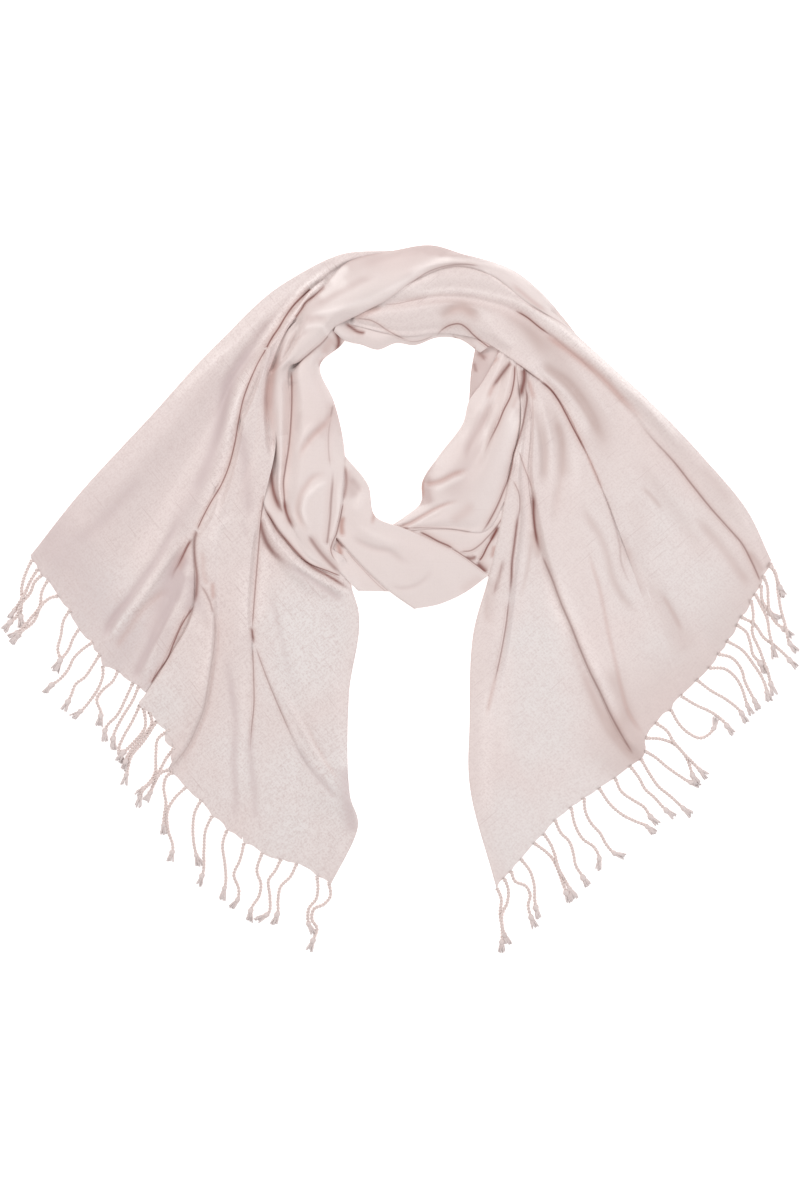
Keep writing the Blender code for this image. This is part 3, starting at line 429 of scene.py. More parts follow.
    ("MLC", "gap", 1.5, -1.5, 0.95, 0.1, 0.1, (
        (326, 287), (321.5, 291.5), (315, 297), (306, 304), (301, 312), (294, 321))),
    ("MLC", "gap", 2.4, -1.5, 0.30, 0.2, 0.4, (
        (301, 312), (294, 321), (287.5, 331.5), (284, 339.5), (280.5, 352), (277, 361), (272.6, 373),
        (270, 385))),
    ("MLC", "warm", 6, -1.5, 0.50, 0.3, 0.35, (
        (281, 345), (277, 361), (272, 375), (269, 390), (268, 405), (269, 420), (274, 436))),
    ("M", "dent", 7, -1.8, 0.75, 0.2, 0.2, (
        (242, 425), (243, 445), (246, 470), (248, 494), (249, 507), (251, 522))),
    ("M", "swell", 6, 1.5, 0.40, 0.3, 0.3, (
        (238, 513), (228, 521), (217, 530), (212.5, 545), (213.5, 560))),
    ("M", "dent", 2.5, -0.8, 0.35, 0.3, 0.3, ((241, 520), (246, 530), (246, 540))),
    ("M", "warm", 4, -1.2, 0.25, 0.3, 0.2, ((201, 546), (203.5, 560), (204, 573), (209, 588))),
    ("M", "cleft", 2.2, -1.5, 0.40, 0.3, 0.1, (
        (199, 584), (204, 589), (208.5, 597), (212, 606), (213.5, 613))),
    ("M", "warm", 3.2, -0.5, 0.50, 0.3, 0.3, ((213, 580), (213.5, 590), (214, 602))),
    ("A", "warm", 4, 0, 0.35, 0.3, 0.3, ((187, 551), (182, 562), (178, 573))),
    ("M", "lap_right", 8, 1.8, 0.22, 0.15, 0.05, (
        (213, 600), (215, 616), (215.5, 634), (214, 651), (211, 669), (208, 688), (204, 709), (197, 727),
        (188, 746), (176, 762), (170, 769))),
    ("M", "warm", 3, 0, 0.26, 0.2, 0.05, (
        (214, 600), (217, 616), (218, 634), (217, 651), (214, 669), (211, 688), (207, 709), (200, 727),
        (191, 746), (179, 762))),
    ("M", "swell", 3, 0.8, 0.35, 0.2, 0.2, ((203, 586), (210.5, 613), (211, 640), (205, 672), (196, 704))),
    ("M", "dent", 5, -1.8, 0.55, 0.3, 0.1, (
        (222, 640), (227, 662), (231.5, 690), (235.5, 720), (234, 760), (236, 800), (233, 826))),
    ("M", "swell", 4, 1.2, 0.20, 0.3, 0.2, ((244, 640), (244, 700), (244, 732), (240, 776), (242, 812))),
    # left end, inner layer
    ("MB", "line", 1.3, 0, 0.62, 0.1, 0.1, (
        (264.5, 491), (261.5, 517), (259, 545), (256, 580), (254, 605), (252, 631))),
    ("MB", "gap", 1.8, -1, 0.9, 0.2, 0.4, ((251.5, 626), (252.5, 634), (254.5, 645))),
    ("MB", "line", 1.3, 0, 0.55, 0.1, 0.3, (
        (252.6, 645), (253.6, 675), (254, 704), (251.5, 730), (250, 758))),
    ("MB", "dent", 4.5, -1.2, 0.45, 0.3, 0.1, (
        (252, 712), (250, 745), (252, 770), (255, 795), (254.5, 824))),
    ("B", "line", 1.2, 0, 0.45, 0.1, 0.4, (
        (255, 645), (266.6, 677), (279.6, 708.4), (290, 732), (300, 753))),
    ("B", "lap_left", 9, 1.8, 0, 0.25, 0.3, (
        (255, 648), (262, 664), (272, 690), (280, 709), (290, 732), (300, 754), (312, 772), (326, 788),
        (338, 801))),
    ("B", "dent", 4.5, -1.2, 0.45, 0.3, 0.2, ((292, 738), (303, 757), (314, 772), (328, 788), (340, 803))),
    ("B", "swell", 4, 1.2, 0.25, 0.3, 0.2, (
        (276, 676), (284, 694), (298, 720), (311, 746), (330, 770), (344, 786))),
    ("B", "warm", 3, -0.8, 0.15, 0.3, 0.2, ((304, 715), (316, 744), (330, 767), (342, 783))),
    ("B", "dent", 4, -0.8, 0.25, 0.3, 0.3, (
        (261, 575), (268.4, 592), (276, 614), (281.5, 638), (287, 666), (294.5, 694))),
    ("B", "gap", 3.8, -2.0, 0.80, 0.1, 0.5, (
        (260, 518), (262.5, 531), (267, 543), (274, 553), (283, 561), (292, 568))),
    ("B", "dent", 5, -1.8, 0.65, 0.3, 0.15, (
        (280, 560), (292, 567.5), (306, 575.5), (325, 589), (346, 602))),
    ("B", "swell", 3, 1.5, 0.50, 0.15, 0.1, (
        (265, 512), (268, 525), (276, 540), (287, 553.5), (301, 567), (317, 578), (333, 586),
        (350, 594))),
    ("LB", "gap", 1.8, -2, 0.95, 0.15, 0.15, (
        (262.6, 501), (265.3, 508.5), (270.7, 518), (277.5, 530), (287, 541), (296.5, 552), (306, 561.5),
        (314, 568), (325, 574), (336, 580.5), (345.5, 586.5), (352, 590))),
    ("LB", "line", 1.2, 0, 0.85, 0.2, 0.1, (
        (303, 559), (311, 564.5), (317, 567), (328, 571), (341.5, 576.5))),
    # left side of the turn
    ("L", "gap", 3.2, -1.5, 1.0, 0.2, 0.2, (
        (275.5, 436), (273, 452), (271, 470), (272, 482), (275, 496), (280, 508), (285, 517))),
    ("LC", "cleft", 2.0, -2.2, 0.75, 0.05, 0.1, (
        (291.4, 370), (292, 383), (292, 400), (290.5, 431), (289, 447), (285.5, 469), (283.8, 482),
        (284.5, 497), (285.5, 509), (288.4, 519))),
    ("L", "gap", 2.6, -2.5, 0.95, 0.25, 0.35, (
        (284.3, 498), (285.5, 507), (287.5, 515), (291, 523), (296, 531))),
    ("LC", "line", 1.3, 0, 0.60, 0.05, 0.1, (
        (329, 337), (322, 345), (312.6, 353), (303.4, 361), (296.6, 367), (291.5, 370))),
    ("L", "gap", 2.6, -1.5, 1.0, 0.15, 0.15, (
        (333, 330), (337, 335), (339, 343), (335.5, 353), (328.5, 359), (322, 363.5), (319, 369))),
    ("L", "warm", 7, -1, 0.35, 0.3, 0.3, ((333, 335), (329, 345), (321, 357))),
    ("L", "cleft", 2.2, -1, 0.40, 0.3, 0.4, ((333.5, 404), (332, 412), (330.5, 421))),
    ("L", "warm", 4.2, -2.2, 0.32, 0.15, 0.3, (
        (332.5, 410), (328, 421), (321.5, 428.5), (310.5, 439.5), (302.5, 452), (299, 464))),
    ("L", "swell", 4, 1.5, 0.35, 0.3, 0.3, ((318, 420), (306, 435), (298, 448.5), (294.5, 460))),
    ("L", "dent", 5, -1.0, 0.35, 0.3, 0.3, ((301, 410), (298, 423.5), (295.5, 436))),
    ("L", "warm", 4, -2.0, 0.28, 0.3, 0.25, (
        (331, 474), (322, 475), (314, 478), (305.5, 488), (299.5, 500.5), (298, 511), (303, 525),
        (309, 535))),
    ("L", "swell", 3, 1.8, 0.55, 0.2, 0.25, (
        (331, 480), (322, 485), (314.5, 491), (306, 500.5), (303.5, 510), (306, 522), (312, 531))),
    ("L", "gap", 3.0, -2.0, 0.60, 0.15, 0.2, (
        (308, 534.5), (314, 543.5), (321, 553), (330, 563), (342, 575))),
    ("L", "line", 1.5, 0, 0.28, 0.2, 0.2, ((331.6, 417), (329.3, 431), (329, 452), (331, 470))),
    ("L", "line", 2.4, -1.5, 0.55, 0.3, 0.05, (
        (333.5, 468), (333, 482), (331.5, 500), (330.5, 516), (328.8, 532), (327, 546))),
    ("L", "swell", 2.4, 0.8, 0.55, 0.2, 0.1, (
        (340, 476), (338.6, 494), (338, 512), (334.5, 527.5), (330, 542), (331, 552), (336, 560),
        (344, 568))),
    ("LF", "gap", 1.8, -1.0, 0.55, 0.2, 0.25, (
        (345, 464), (346.2, 474), (346.4, 484), (345, 494), (343.5, 503))),
    ("LF", "line", 1.2, 0, 0.65, 0.1, 0.2, (
        (343.5, 502), (342, 510), (339, 524), (336.5, 534), (332.5, 543), (331, 549), (333, 556.5),
        (339, 564))),
    # front of the turn
    ("F", "warm", 3.5, -1, 0.80, 0.25, 0.3, ((343.5, 514), (341.5, 526), (343, 539))),
    ("FU", "gap", 1.6, -0.8, 0.9, 0.1, 0.4, ((335.5, 538), (341, 545), (346, 550))),
    ("FU", "line", 0.9, 0, 0.30, 0.1, 0.05, (
        (346, 550), (352, 557.4), (365.7, 572.3), (379.3, 586), (389, 594))),
    ("U", "warm", 3.5, -0.5, 0.75, 0.3, 0.3, ((337, 541), (339.5, 549), (341.5, 557))),
    ("F", "dent", 4, -1.5, 0.45, 0.3, 0.3, ((349, 478), (356, 484), (362, 493))),
    ("F", "swell", 5, 1.5, 0.35, 0.3, 0.3, ((366, 488), (360, 502), (354, 517))),
    ("F", "warm", 2.6, -0.5, 0.5, 0.3, 0.3, ((375, 500), (374.5, 512), (371.5, 527))),
    ("F", "swell", 6, 0.8, 0.25, 0.3, 0.3, ((352, 524), (366, 532), (384, 540), (404, 547))),
    ("F", "dent", 4.5, -1.5, 0.38, 0.2, 0.3, (
        (349, 535), (361, 543), (375, 549), (390, 552), (402, 561), (413, 567))),
    ("F", "dent", 3, -0.8, 0.30, 0.3, 0.3, (
        (388, 584.5), (397, 588), (407, 588), (420, 583), (428, 575), (431.5, 567))),
    ("F", "warm", 7, -0.5, 0.15, 0.3, 0.2, ((458, 594), (470, 585), (484, 577))),
    # crossing at the back of the neck
    ("C", "swell", 6.5, 2.0, 1.0, 0.25, 0.25, ((350, 267), (343, 272), (336, 279), (328, 286))),
    ("C", "swell", 4, 1.5, 0.75, 0.15, 0.2, (
        (430, 270), (420, 275.5), (403, 285.5), (386, 295), (369, 303), (351, 309), (334, 313.5),
        (319, 315.5), (308, 313))),
    ("C", "dent", 5, -2.0, 0.5, 0.2, 0.25, (
        (378, 277), (363, 282.5), (350, 289), (338, 295), (324, 303), (311, 309))),
    ("C", "dent", 7, -0.8, 0.38, 0.25, 0.2, ((356, 265), (374, 263.5), (392, 259), (410, 254), (426, 251))),
    ("C", "swell", 3, 1.0, 0.5, 0.25, 0.3, ((303, 332), (314, 329), (324, 330), (327.5, 335), (323, 343))),
    ("C", "dent", 4, -1.0, 0.35, 0.3, 0.3, ((303, 321), (316, 321), (330, 322.5))),
    ("C", "dent", 2.4, -0.8, 0.35, 0.3, 0.3, ((292, 343), (301, 339), (309, 333))),
    ("CA", "dent", 2.6, -0.8, 0.85, 0.2, 0.05, ((436, 259.5), (446, 257.5), (457.5, 256), (469, 257.8))),
    ("C", "dent", 6, -0.8, 0.75, 0.3, 0.2, ((420, 253), (432, 252), (446, 252), (460, 254))),
    ("C", "swell", 4, 1.5, 0.65, 0.2, 0.2, (
        (418, 274), (428, 269), (440, 263.5), (464, 262), (486, 265), (505, 271.5), (525, 286.5),
        (539, 300))),
    ("CO", "line", 1.1, 0, 0.40, 0.2, 0.1, (
        (405, 288), (414, 283), (428, 274.5), (444, 269), (464, 267), (479, 268.5))),
    ("CO", "swell", 1.6, 0.4, 0.55, 0.2, 0.2, ((481, 270), (494, 281), (508, 292), (519, 300))),
    ("CO", "warm", 3, -1, 0.30, 0.25, 0.25, ((508, 285), (522, 296), (535, 306.5), (548, 315))),
    ("CO", "line", 1.1, 0, 0.30, 0.2, 0.4, (
        (521, 303), (540, 313.7), (554, 320.5), (566, 327.5), (579, 337.5))),
    # over the right shoulder
    ("O", "lap_left", 8, 2.1, 0, 0.1, 0.05, (
        (373, 307.5), (400, 303), (430, 298.3), (451, 297.3), (467, 298), (483, 301.5), (500, 305.6),
        (513, 311), (525.5, 318), (539, 328.6), (552.5, 338), (565, 349), (580, 361), (600, 382),
        (620, 402), (640, 423), (652, 439), (673, 462), (692, 485.7), (711.5, 509.5), (728.5, 528.5),
        (741.5, 543.5), (752, 563), (761, 583))),
    ("O", "swell", 4, 1.5, 0.70, 0.15, 0.15, (
        (405, 297), (424, 294.5), (464, 293), (491, 297.5), (519, 306), (539, 316.5), (566, 335.5),
        (587, 352), (600, 363))),
    ("O", "line", 1.1, 0, 0.35, 0.2, 0.3, ((380, 306), (397, 305), (411, 302), (430, 298.5))),
    ("O", "line", 1.3, 0, 0.95, 0.2, 0.3, ((513, 311), (525.5, 318), (539, 328.6), (552.5, 338))),
    ("O", "warm", 4.5, -1.5, 0.55, 0.15, 0.3, (
        (540, 329.5), (552, 340), (564, 348.5), (578, 359), (593, 371), (607, 384), (621, 399),
        (636, 414), (648, 426))),
    ("O", "line", 1.7, 0, 0.60, 0.4, 0.03, (
        (626, 408), (652, 439), (673, 461.5), (692, 485.5), (711.5, 509.5), (728.5, 528.5),
        (741.5, 543.5), (752, 563), (761, 583))),
    ("O", "dent", 4, -0.5, 0.7, 0.3, 0.1, ((746, 550), (755, 560), (763, 572))),
    ("O", "swell", 5.5, 1.5, 0.9, 0.2, 0.25, (
        (578, 340), (590, 349), (611, 369), (633, 390), (651, 407.5), (664, 424), (684, 448))),
    ("O", "dent", 6, -0.8, 0.30, 0.3, 0.3, ((694, 462), (717, 486), (735, 509))),
    ("O", "dent", 6.5, -3.0, 0.85, 0.25, 0.25, (
        (441, 324), (445, 315), (453, 309.5), (464, 308), (473, 315), (476, 326))),
    ("O", "warm", 6, -0.5, 0.20, 0.3, 0.3, ((446, 317), (456, 312), (466, 314), (472, 322))),
    ("O", "swell", 7, 1.0, 0.4, 0.3, 0.3, ((478, 310), (492, 327), (508, 343), (521, 356))),
    ("O", "dent", 9, -1.5, 0.60, 0.3, 0.3, ((497, 311), (514, 322), (529, 336), (541, 350), (552, 359))),
    ("O", "dent", 7, -2.5, 0.80, 0.12, 0.35, (
        (536, 363), (550, 373), (566, 384), (577, 397), (587, 412), (595, 427), (602, 441), (605, 458))),
    ("O", "swell", 6, 1.0, 0.25, 0.3, 0.3, ((560, 356), (576, 369), (598, 397), (618, 428))),
    ("O", "dent", 6, -1.2, 0.55, 0.25, 0.15, (
        (692, 512), (703, 526.5), (720, 546), (737, 569), (751, 588))),
    ("O", "dent", 10, -0.8, 0.25, 0.3, 0.3, ((630, 450), (650, 480), (690, 535), (712, 572))),
    ("OI", "line", 1.1, 0, 0.55, 0.2, 0.1, (
        (494, 352), (510, 361.5), (521.5, 368.6), (531.5, 375.7), (543, 383))),
    ("OI", "cleft", 1.8, -1.5, 0.95, 0.12, 0.25, (
        (537, 379), (551.4, 391.4), (558.6, 401.5), (565.7, 414.5), (573, 428.6), (581.4, 444.3),
        (590, 461))),
    ("OI", "warm", 2.4, 0, 0.40, 0.3, 0.3, ((584, 448), (590, 462), (597, 478), (604, 494))),
    ("OI", "cleft", 2.6, -1.2, 0.25, 0.2, 0.3, (
        (600, 486), (607, 501), (611.5, 514.5), (616, 530), (619.5, 545), (621, 562), (627, 578),
        (634, 591))),
    ("OI", "dent", 5, -1.0, 0.5, 0.3, 0.3, ((620, 533), (625, 549), (629, 566))),
    ("OI", "dent", 3, -1.0, 0.6, 0.3, 0.3, ((638, 484), (650, 496), (664, 512))),
    ("OI", "dent", 3, -1.0, 0.6, 0.3, 0.3, ((658, 589), (664, 598), (675, 617), (684, 636))),
    ("ON", "warm", 5, -0.5, 0.45, 0.2, 0.3, ((351, 320.5), (362, 316), (374, 310.5), (385, 307))),
    ("ON", "line", 1.1, 0, 0.50, 0.2, 0.2, (
        (352, 319.5), (361, 320), (370, 321.3), (378, 325), (386, 330.5), (397, 336.5), (411, 342))),
    # front of the neck
    ("N", "gap", 2.2, -1.5, 0.95, 0.3, 0.15, ((343, 323), (351, 328), (358, 332.5), (366, 334))),
    ("N", "swell", 6, 1.2, 0.5, 0.3, 0.3, ((400, 327), (418, 329), (433, 331))),
    ("N", "line", 0.9, 0, 0.35, 0.2, 0.2, ((400, 340), (414.5, 342.3), (426, 339.5), (434.5, 335.5))),
    ("NO", "line", 1.3, 0, 0.80, 0.2, 0.1, (
        (435, 338), (443, 330), (450, 326.5), (460, 325.7), (467, 330), (472, 335), (480, 341.5),
        (490, 349), (500, 357))),
    ("N", "line", 1.2, 0, 0.6, 0.2, 0.2, ((449, 334.5), (455, 332.5), (464, 332.7), (471.5, 335))),
    ("N", "warm", 2.5, 0, 0.50, 0.3, 0.3, ((451, 328.5), (458, 329), (464, 331))),
    ("N", "line", 1.5, 0, 0.55, 0.2, 0.05, ((451, 335.5), (461.5, 341.5), (469, 346), (476, 349.5))),
    ("N", "dent", 3, -0.5, 0.5, 0.3, 0.3, ((460, 336), (468, 339), (476, 345))),
    # right side of the turn
    ("KR", "gap", 3.0, -1, 0.55, 0.3, 0.3, ((476, 352), (482, 356), (486, 361))),
    ("KR", "gap", 2.6, -1, 0.5, 0.3, 0.3, ((473.5, 361), (475, 368), (477, 374))),
    ("R", "warm", 3, -1, 0.45, 0.2, 0.3, ((499, 356.5), (490, 365), (483, 374))),
    ("R", "swell", 2.5, 0.8, 0.5, 0.3, 0.3, ((487, 348), (491, 354), (494, 359))),
    ("R", "gap", 2.2, -2.5, 0.9, 0.08, 0.3, ((510.7, 363), (503, 373), (496, 382.5), (490.5, 390))),
    ("R", "warm", 3, -1.0, 0.45, 0.3, 0.4, ((496, 382), (491, 391), (487, 402))),
    ("R", "cleft", 1.6, -2.0, 0.9, 0.05, 0.4, (
        (514.3, 365), (513.6, 380), (510, 397), (503, 411.5), (497, 426), (490, 440), (482, 459))),
    ("RI", "gap", 3.8, -3.5, 1.0, 0.1, 0.35, ((523, 369), (523.6, 380), (521, 391.5), (519.5, 403))),
    ("RI", "cleft", 2.0, -1.8, 0.75, 0.08, 0.1, (
        (524, 384), (526.4, 398.6), (524.3, 414.5), (521.4, 428.6), (517, 443), (513, 454.5),
        (511.4, 466), (508.6, 477), (503, 491.5), (497, 506), (491.4, 517), (484, 529), (479.5, 534))),
    ("R", "dent", 4.5, -2.2, 0.6, 0.2, 0.25, (
        (493, 398), (488.6, 411.5), (477, 431.5), (468.6, 448.6), (465, 463))),
    ("R", "swell", 3, 1.5, 0.4, 0.3, 0.3, ((501, 395), (497, 406), (486, 431.5), (475.5, 455))),
    ("R", "swell", 3, 1.0, 0.35, 0.3, 0.3, ((491, 392), (484, 405), (478, 417))),
    ("R", "swell", 6, 1.2, 0.35, 0.3, 0.3, ((478, 404), (466, 430), (454, 448))),
    ("R", "swell", 3, 1.0, 0.4, 0.3, 0.3, ((516, 407), (511, 417), (507, 426))),
    ("R", "warm", 3, -0.5, 0.25, 0.3, 0.3, ((517, 395), (513, 405), (510, 412))),
    ("R", "warm", 3, -2.2, 0.55, 0.15, 0.3, (
        (423, 484), (432, 483.5), (441, 481), (454, 474.5), (470, 469.5))),
    ("R", "swell", 3.5, 1.2, 0.5, 0.2, 0.3, ((432, 493), (444, 487), (455, 481), (470, 474))),
    ("R", "warm", 2, -0.5, 0.6, 0.3, 0.3, ((424, 474), (422.5, 486), (423.5, 500))),
    ("R", "warm", 2.4, -1.8, 0.48, 0.1, 0.3, (
        (397, 527), (407, 524.5), (421, 517), (434, 509.5), (447, 504), (462, 500.5))),
    ("R", "swell", 2.5, 1.0, 0.4, 0.2, 0.3, ((401, 521), (415, 510.5), (428, 503))),
    ("R", "swell", 2.5, 1.0, 0.3, 0.2, 0.3, ((412, 526.5), (428, 518), (445, 508.5))),
    ("R", "warm", 7, -0.8, 0.20, 0.3, 0.3, ((447, 524), (463, 514), (475, 502))),
    ("RV", "gap", 1.6, -0.8, 0.9, 0.2, 0.3, ((388, 525.5), (395, 527), (402, 528.3), (412, 528))),
    ("RV", "line", 1.1, 0, 0.40, 0.1, 0.1, ((408, 528), (426, 528), (449.5, 529), (473, 532.5))),
    ("V", "line", 1.3, 0, 0.6, 0.1, 0.1, (
        (459, 551.5), (471, 550.5), (479.6, 545), (487, 537.5), (498, 524.6), (503, 516))),
    ("V", "gap", 3.0, -1.5, 0.95, 0.3, 0.3, ((499, 525), (494, 534.5), (489, 542.5))),
    ("V", "cleft", 1.8, -1.5, 1.0, 0.1, 0.1, (
        (498, 527), (492.5, 537.5), (487, 547), (482, 557), (478, 562.5))),
    ("V", "gap", 3, -0.5, 0.8, 0.3, 0.3, ((464, 557), (471, 558.5), (477, 556))),
    ("V", "gap", 4, -1.0, 0.95, 0.25, 0.25, ((476, 562), (482.3, 568.5), (487.5, 573.5))),
    ("V", "warm", 4, 0, 0.6, 0.3, 0.3, ((494, 543), (493.5, 551), (491, 560))),
    ("FV", "cleft", 1.7, -0.8, 0.9, 0.15, 0.2, (
        (418, 531), (428, 535.9), (439, 541.8), (448.6, 546), (456, 550.5))),
    ("FV", "line", 1.3, 0, 0.6, 0.1, 0.1, ((450, 547), (464.6, 556.8), (472, 562), (480, 568), (487, 574))),
    # right end, inner layer
    ("I", "warm", 3.5, -1.5, 0.48, 0.2, 0.35, ((526, 378), (531, 392), (534, 404))),
    ("I", "dent", 5, -1.8, 0.55, 0.25, 0.25, (
        (531, 400), (534.5, 414.5), (540, 433), (543, 451.5), (543, 471.5), (540, 490))),
    ("I", "swell", 3.5, 1.2, 0.4, 0.2, 0.25, (
        (535, 385), (540, 402), (544.5, 417), (550, 443), (550.5, 471), (548.5, 494))),
    ("I", "dent", 5, -1.8, 0.55, 0.2, 0.3, (
        (548, 400), (556, 421), (561.5, 440), (561.5, 461), (560, 478), (557, 492), (554, 512),
        (551, 533))),
    ("I", "swell", 6, 1.0, 0.25, 0.3, 0.3, ((572, 440), (575.5, 468), (570, 500))),
    ("I", "line", 1.1, 0, 0.45, 0.1, 0.3, ((518, 451), (524.3, 468.6), (530.7, 485.7), (532.9, 497))),
    ("I", "gap", 2.2, -2.0, 1.0, 0.25, 0.3, (
        (531, 487), (533, 500), (533.5, 515), (535, 530), (538, 545), (542, 556))),
    ("I", "lap_left", 10, 2.4, 0, 0.1, 0.05, (
        (532, 497), (533, 515), (536, 533), (543.5, 558), (551.7, 578.6), (561, 603.7), (570.6, 625.7),
        (580, 649.3), (589.4, 671.3), (600.4, 693.3), (610, 714), (622, 736), (634, 756))),
    ("I", "line", 2.0, 0, 0.55, 0.05, 0.05, (
        (541, 553), (551.7, 578.6), (561, 603.7), (570.6, 625.7), (580, 649.3), (589.4, 671.3),
        (600.4, 693.3), (610, 714), (622, 736), (634, 756))),
    ("I", "line", 1.2, 0, 0.45, 0.2, 0.2, ((511.4, 478.6), (518.6, 494.3), (519.3, 508.6), (517.5, 520))),
    ("I", "lap_right", 7, 1.8, 0, 0.15, 0.3, (
        (519, 505), (517.5, 520.4), (514.5, 544), (512, 563), (511.5, 578.6), (509, 600.6),
        (506.5, 622.6), (503, 641.4), (498.3, 665), (493.6, 685.4))),
    ("I", "gap", 1.8, -1.5, 0.95, 0.2, 0.3, (
        (519, 508), (517, 520.4), (514, 544), (511.6, 563), (511, 578.6), (508.5, 600.6))),
    ("I", "line", 1.4, 0, 0.65, 0.2, 0.2, (
        (509, 595), (506, 622.6), (503, 641.4), (498.3, 665), (493.6, 685.4))),
    ("I", "warm", 2.5, -0.5, 0.35, 0.3, 0.3, ((498, 665), (493.5, 685), (489, 704), (485.5, 720))),
    ("I", "gap", 2.0, -1.2, 0.5, 0.25, 0.3, ((504, 557), (500, 572), (495.5, 588), (492, 598))),
    ("I", "dent", 2.2, -0.8, 0.35, 0.3, 0.3, ((488, 590), (486, 612), (489, 628))),
    ("I", "dent", 3, -0.8, 0.45, 0.25, 0.3, ((530, 536), (528.5, 562), (523.5, 585), (518.5, 602))),
    ("I", "dent", 5, -1.5, 0.55, 0.2, 0.2, (
        (578, 500), (587, 517), (599, 535), (606.7, 555), (611.5, 575.5), (619.5, 593), (630, 607),
        (642, 617))),
    ("I", "warm", 2.6, -1.0, 0.26, 0.15, 0.1, (
        (586, 547), (592.6, 567.6), (599, 588), (603.6, 610), (608.3, 633.6), (614.6, 660), (621, 688.6),
        (628, 712), (638, 728), (645, 737))),
)


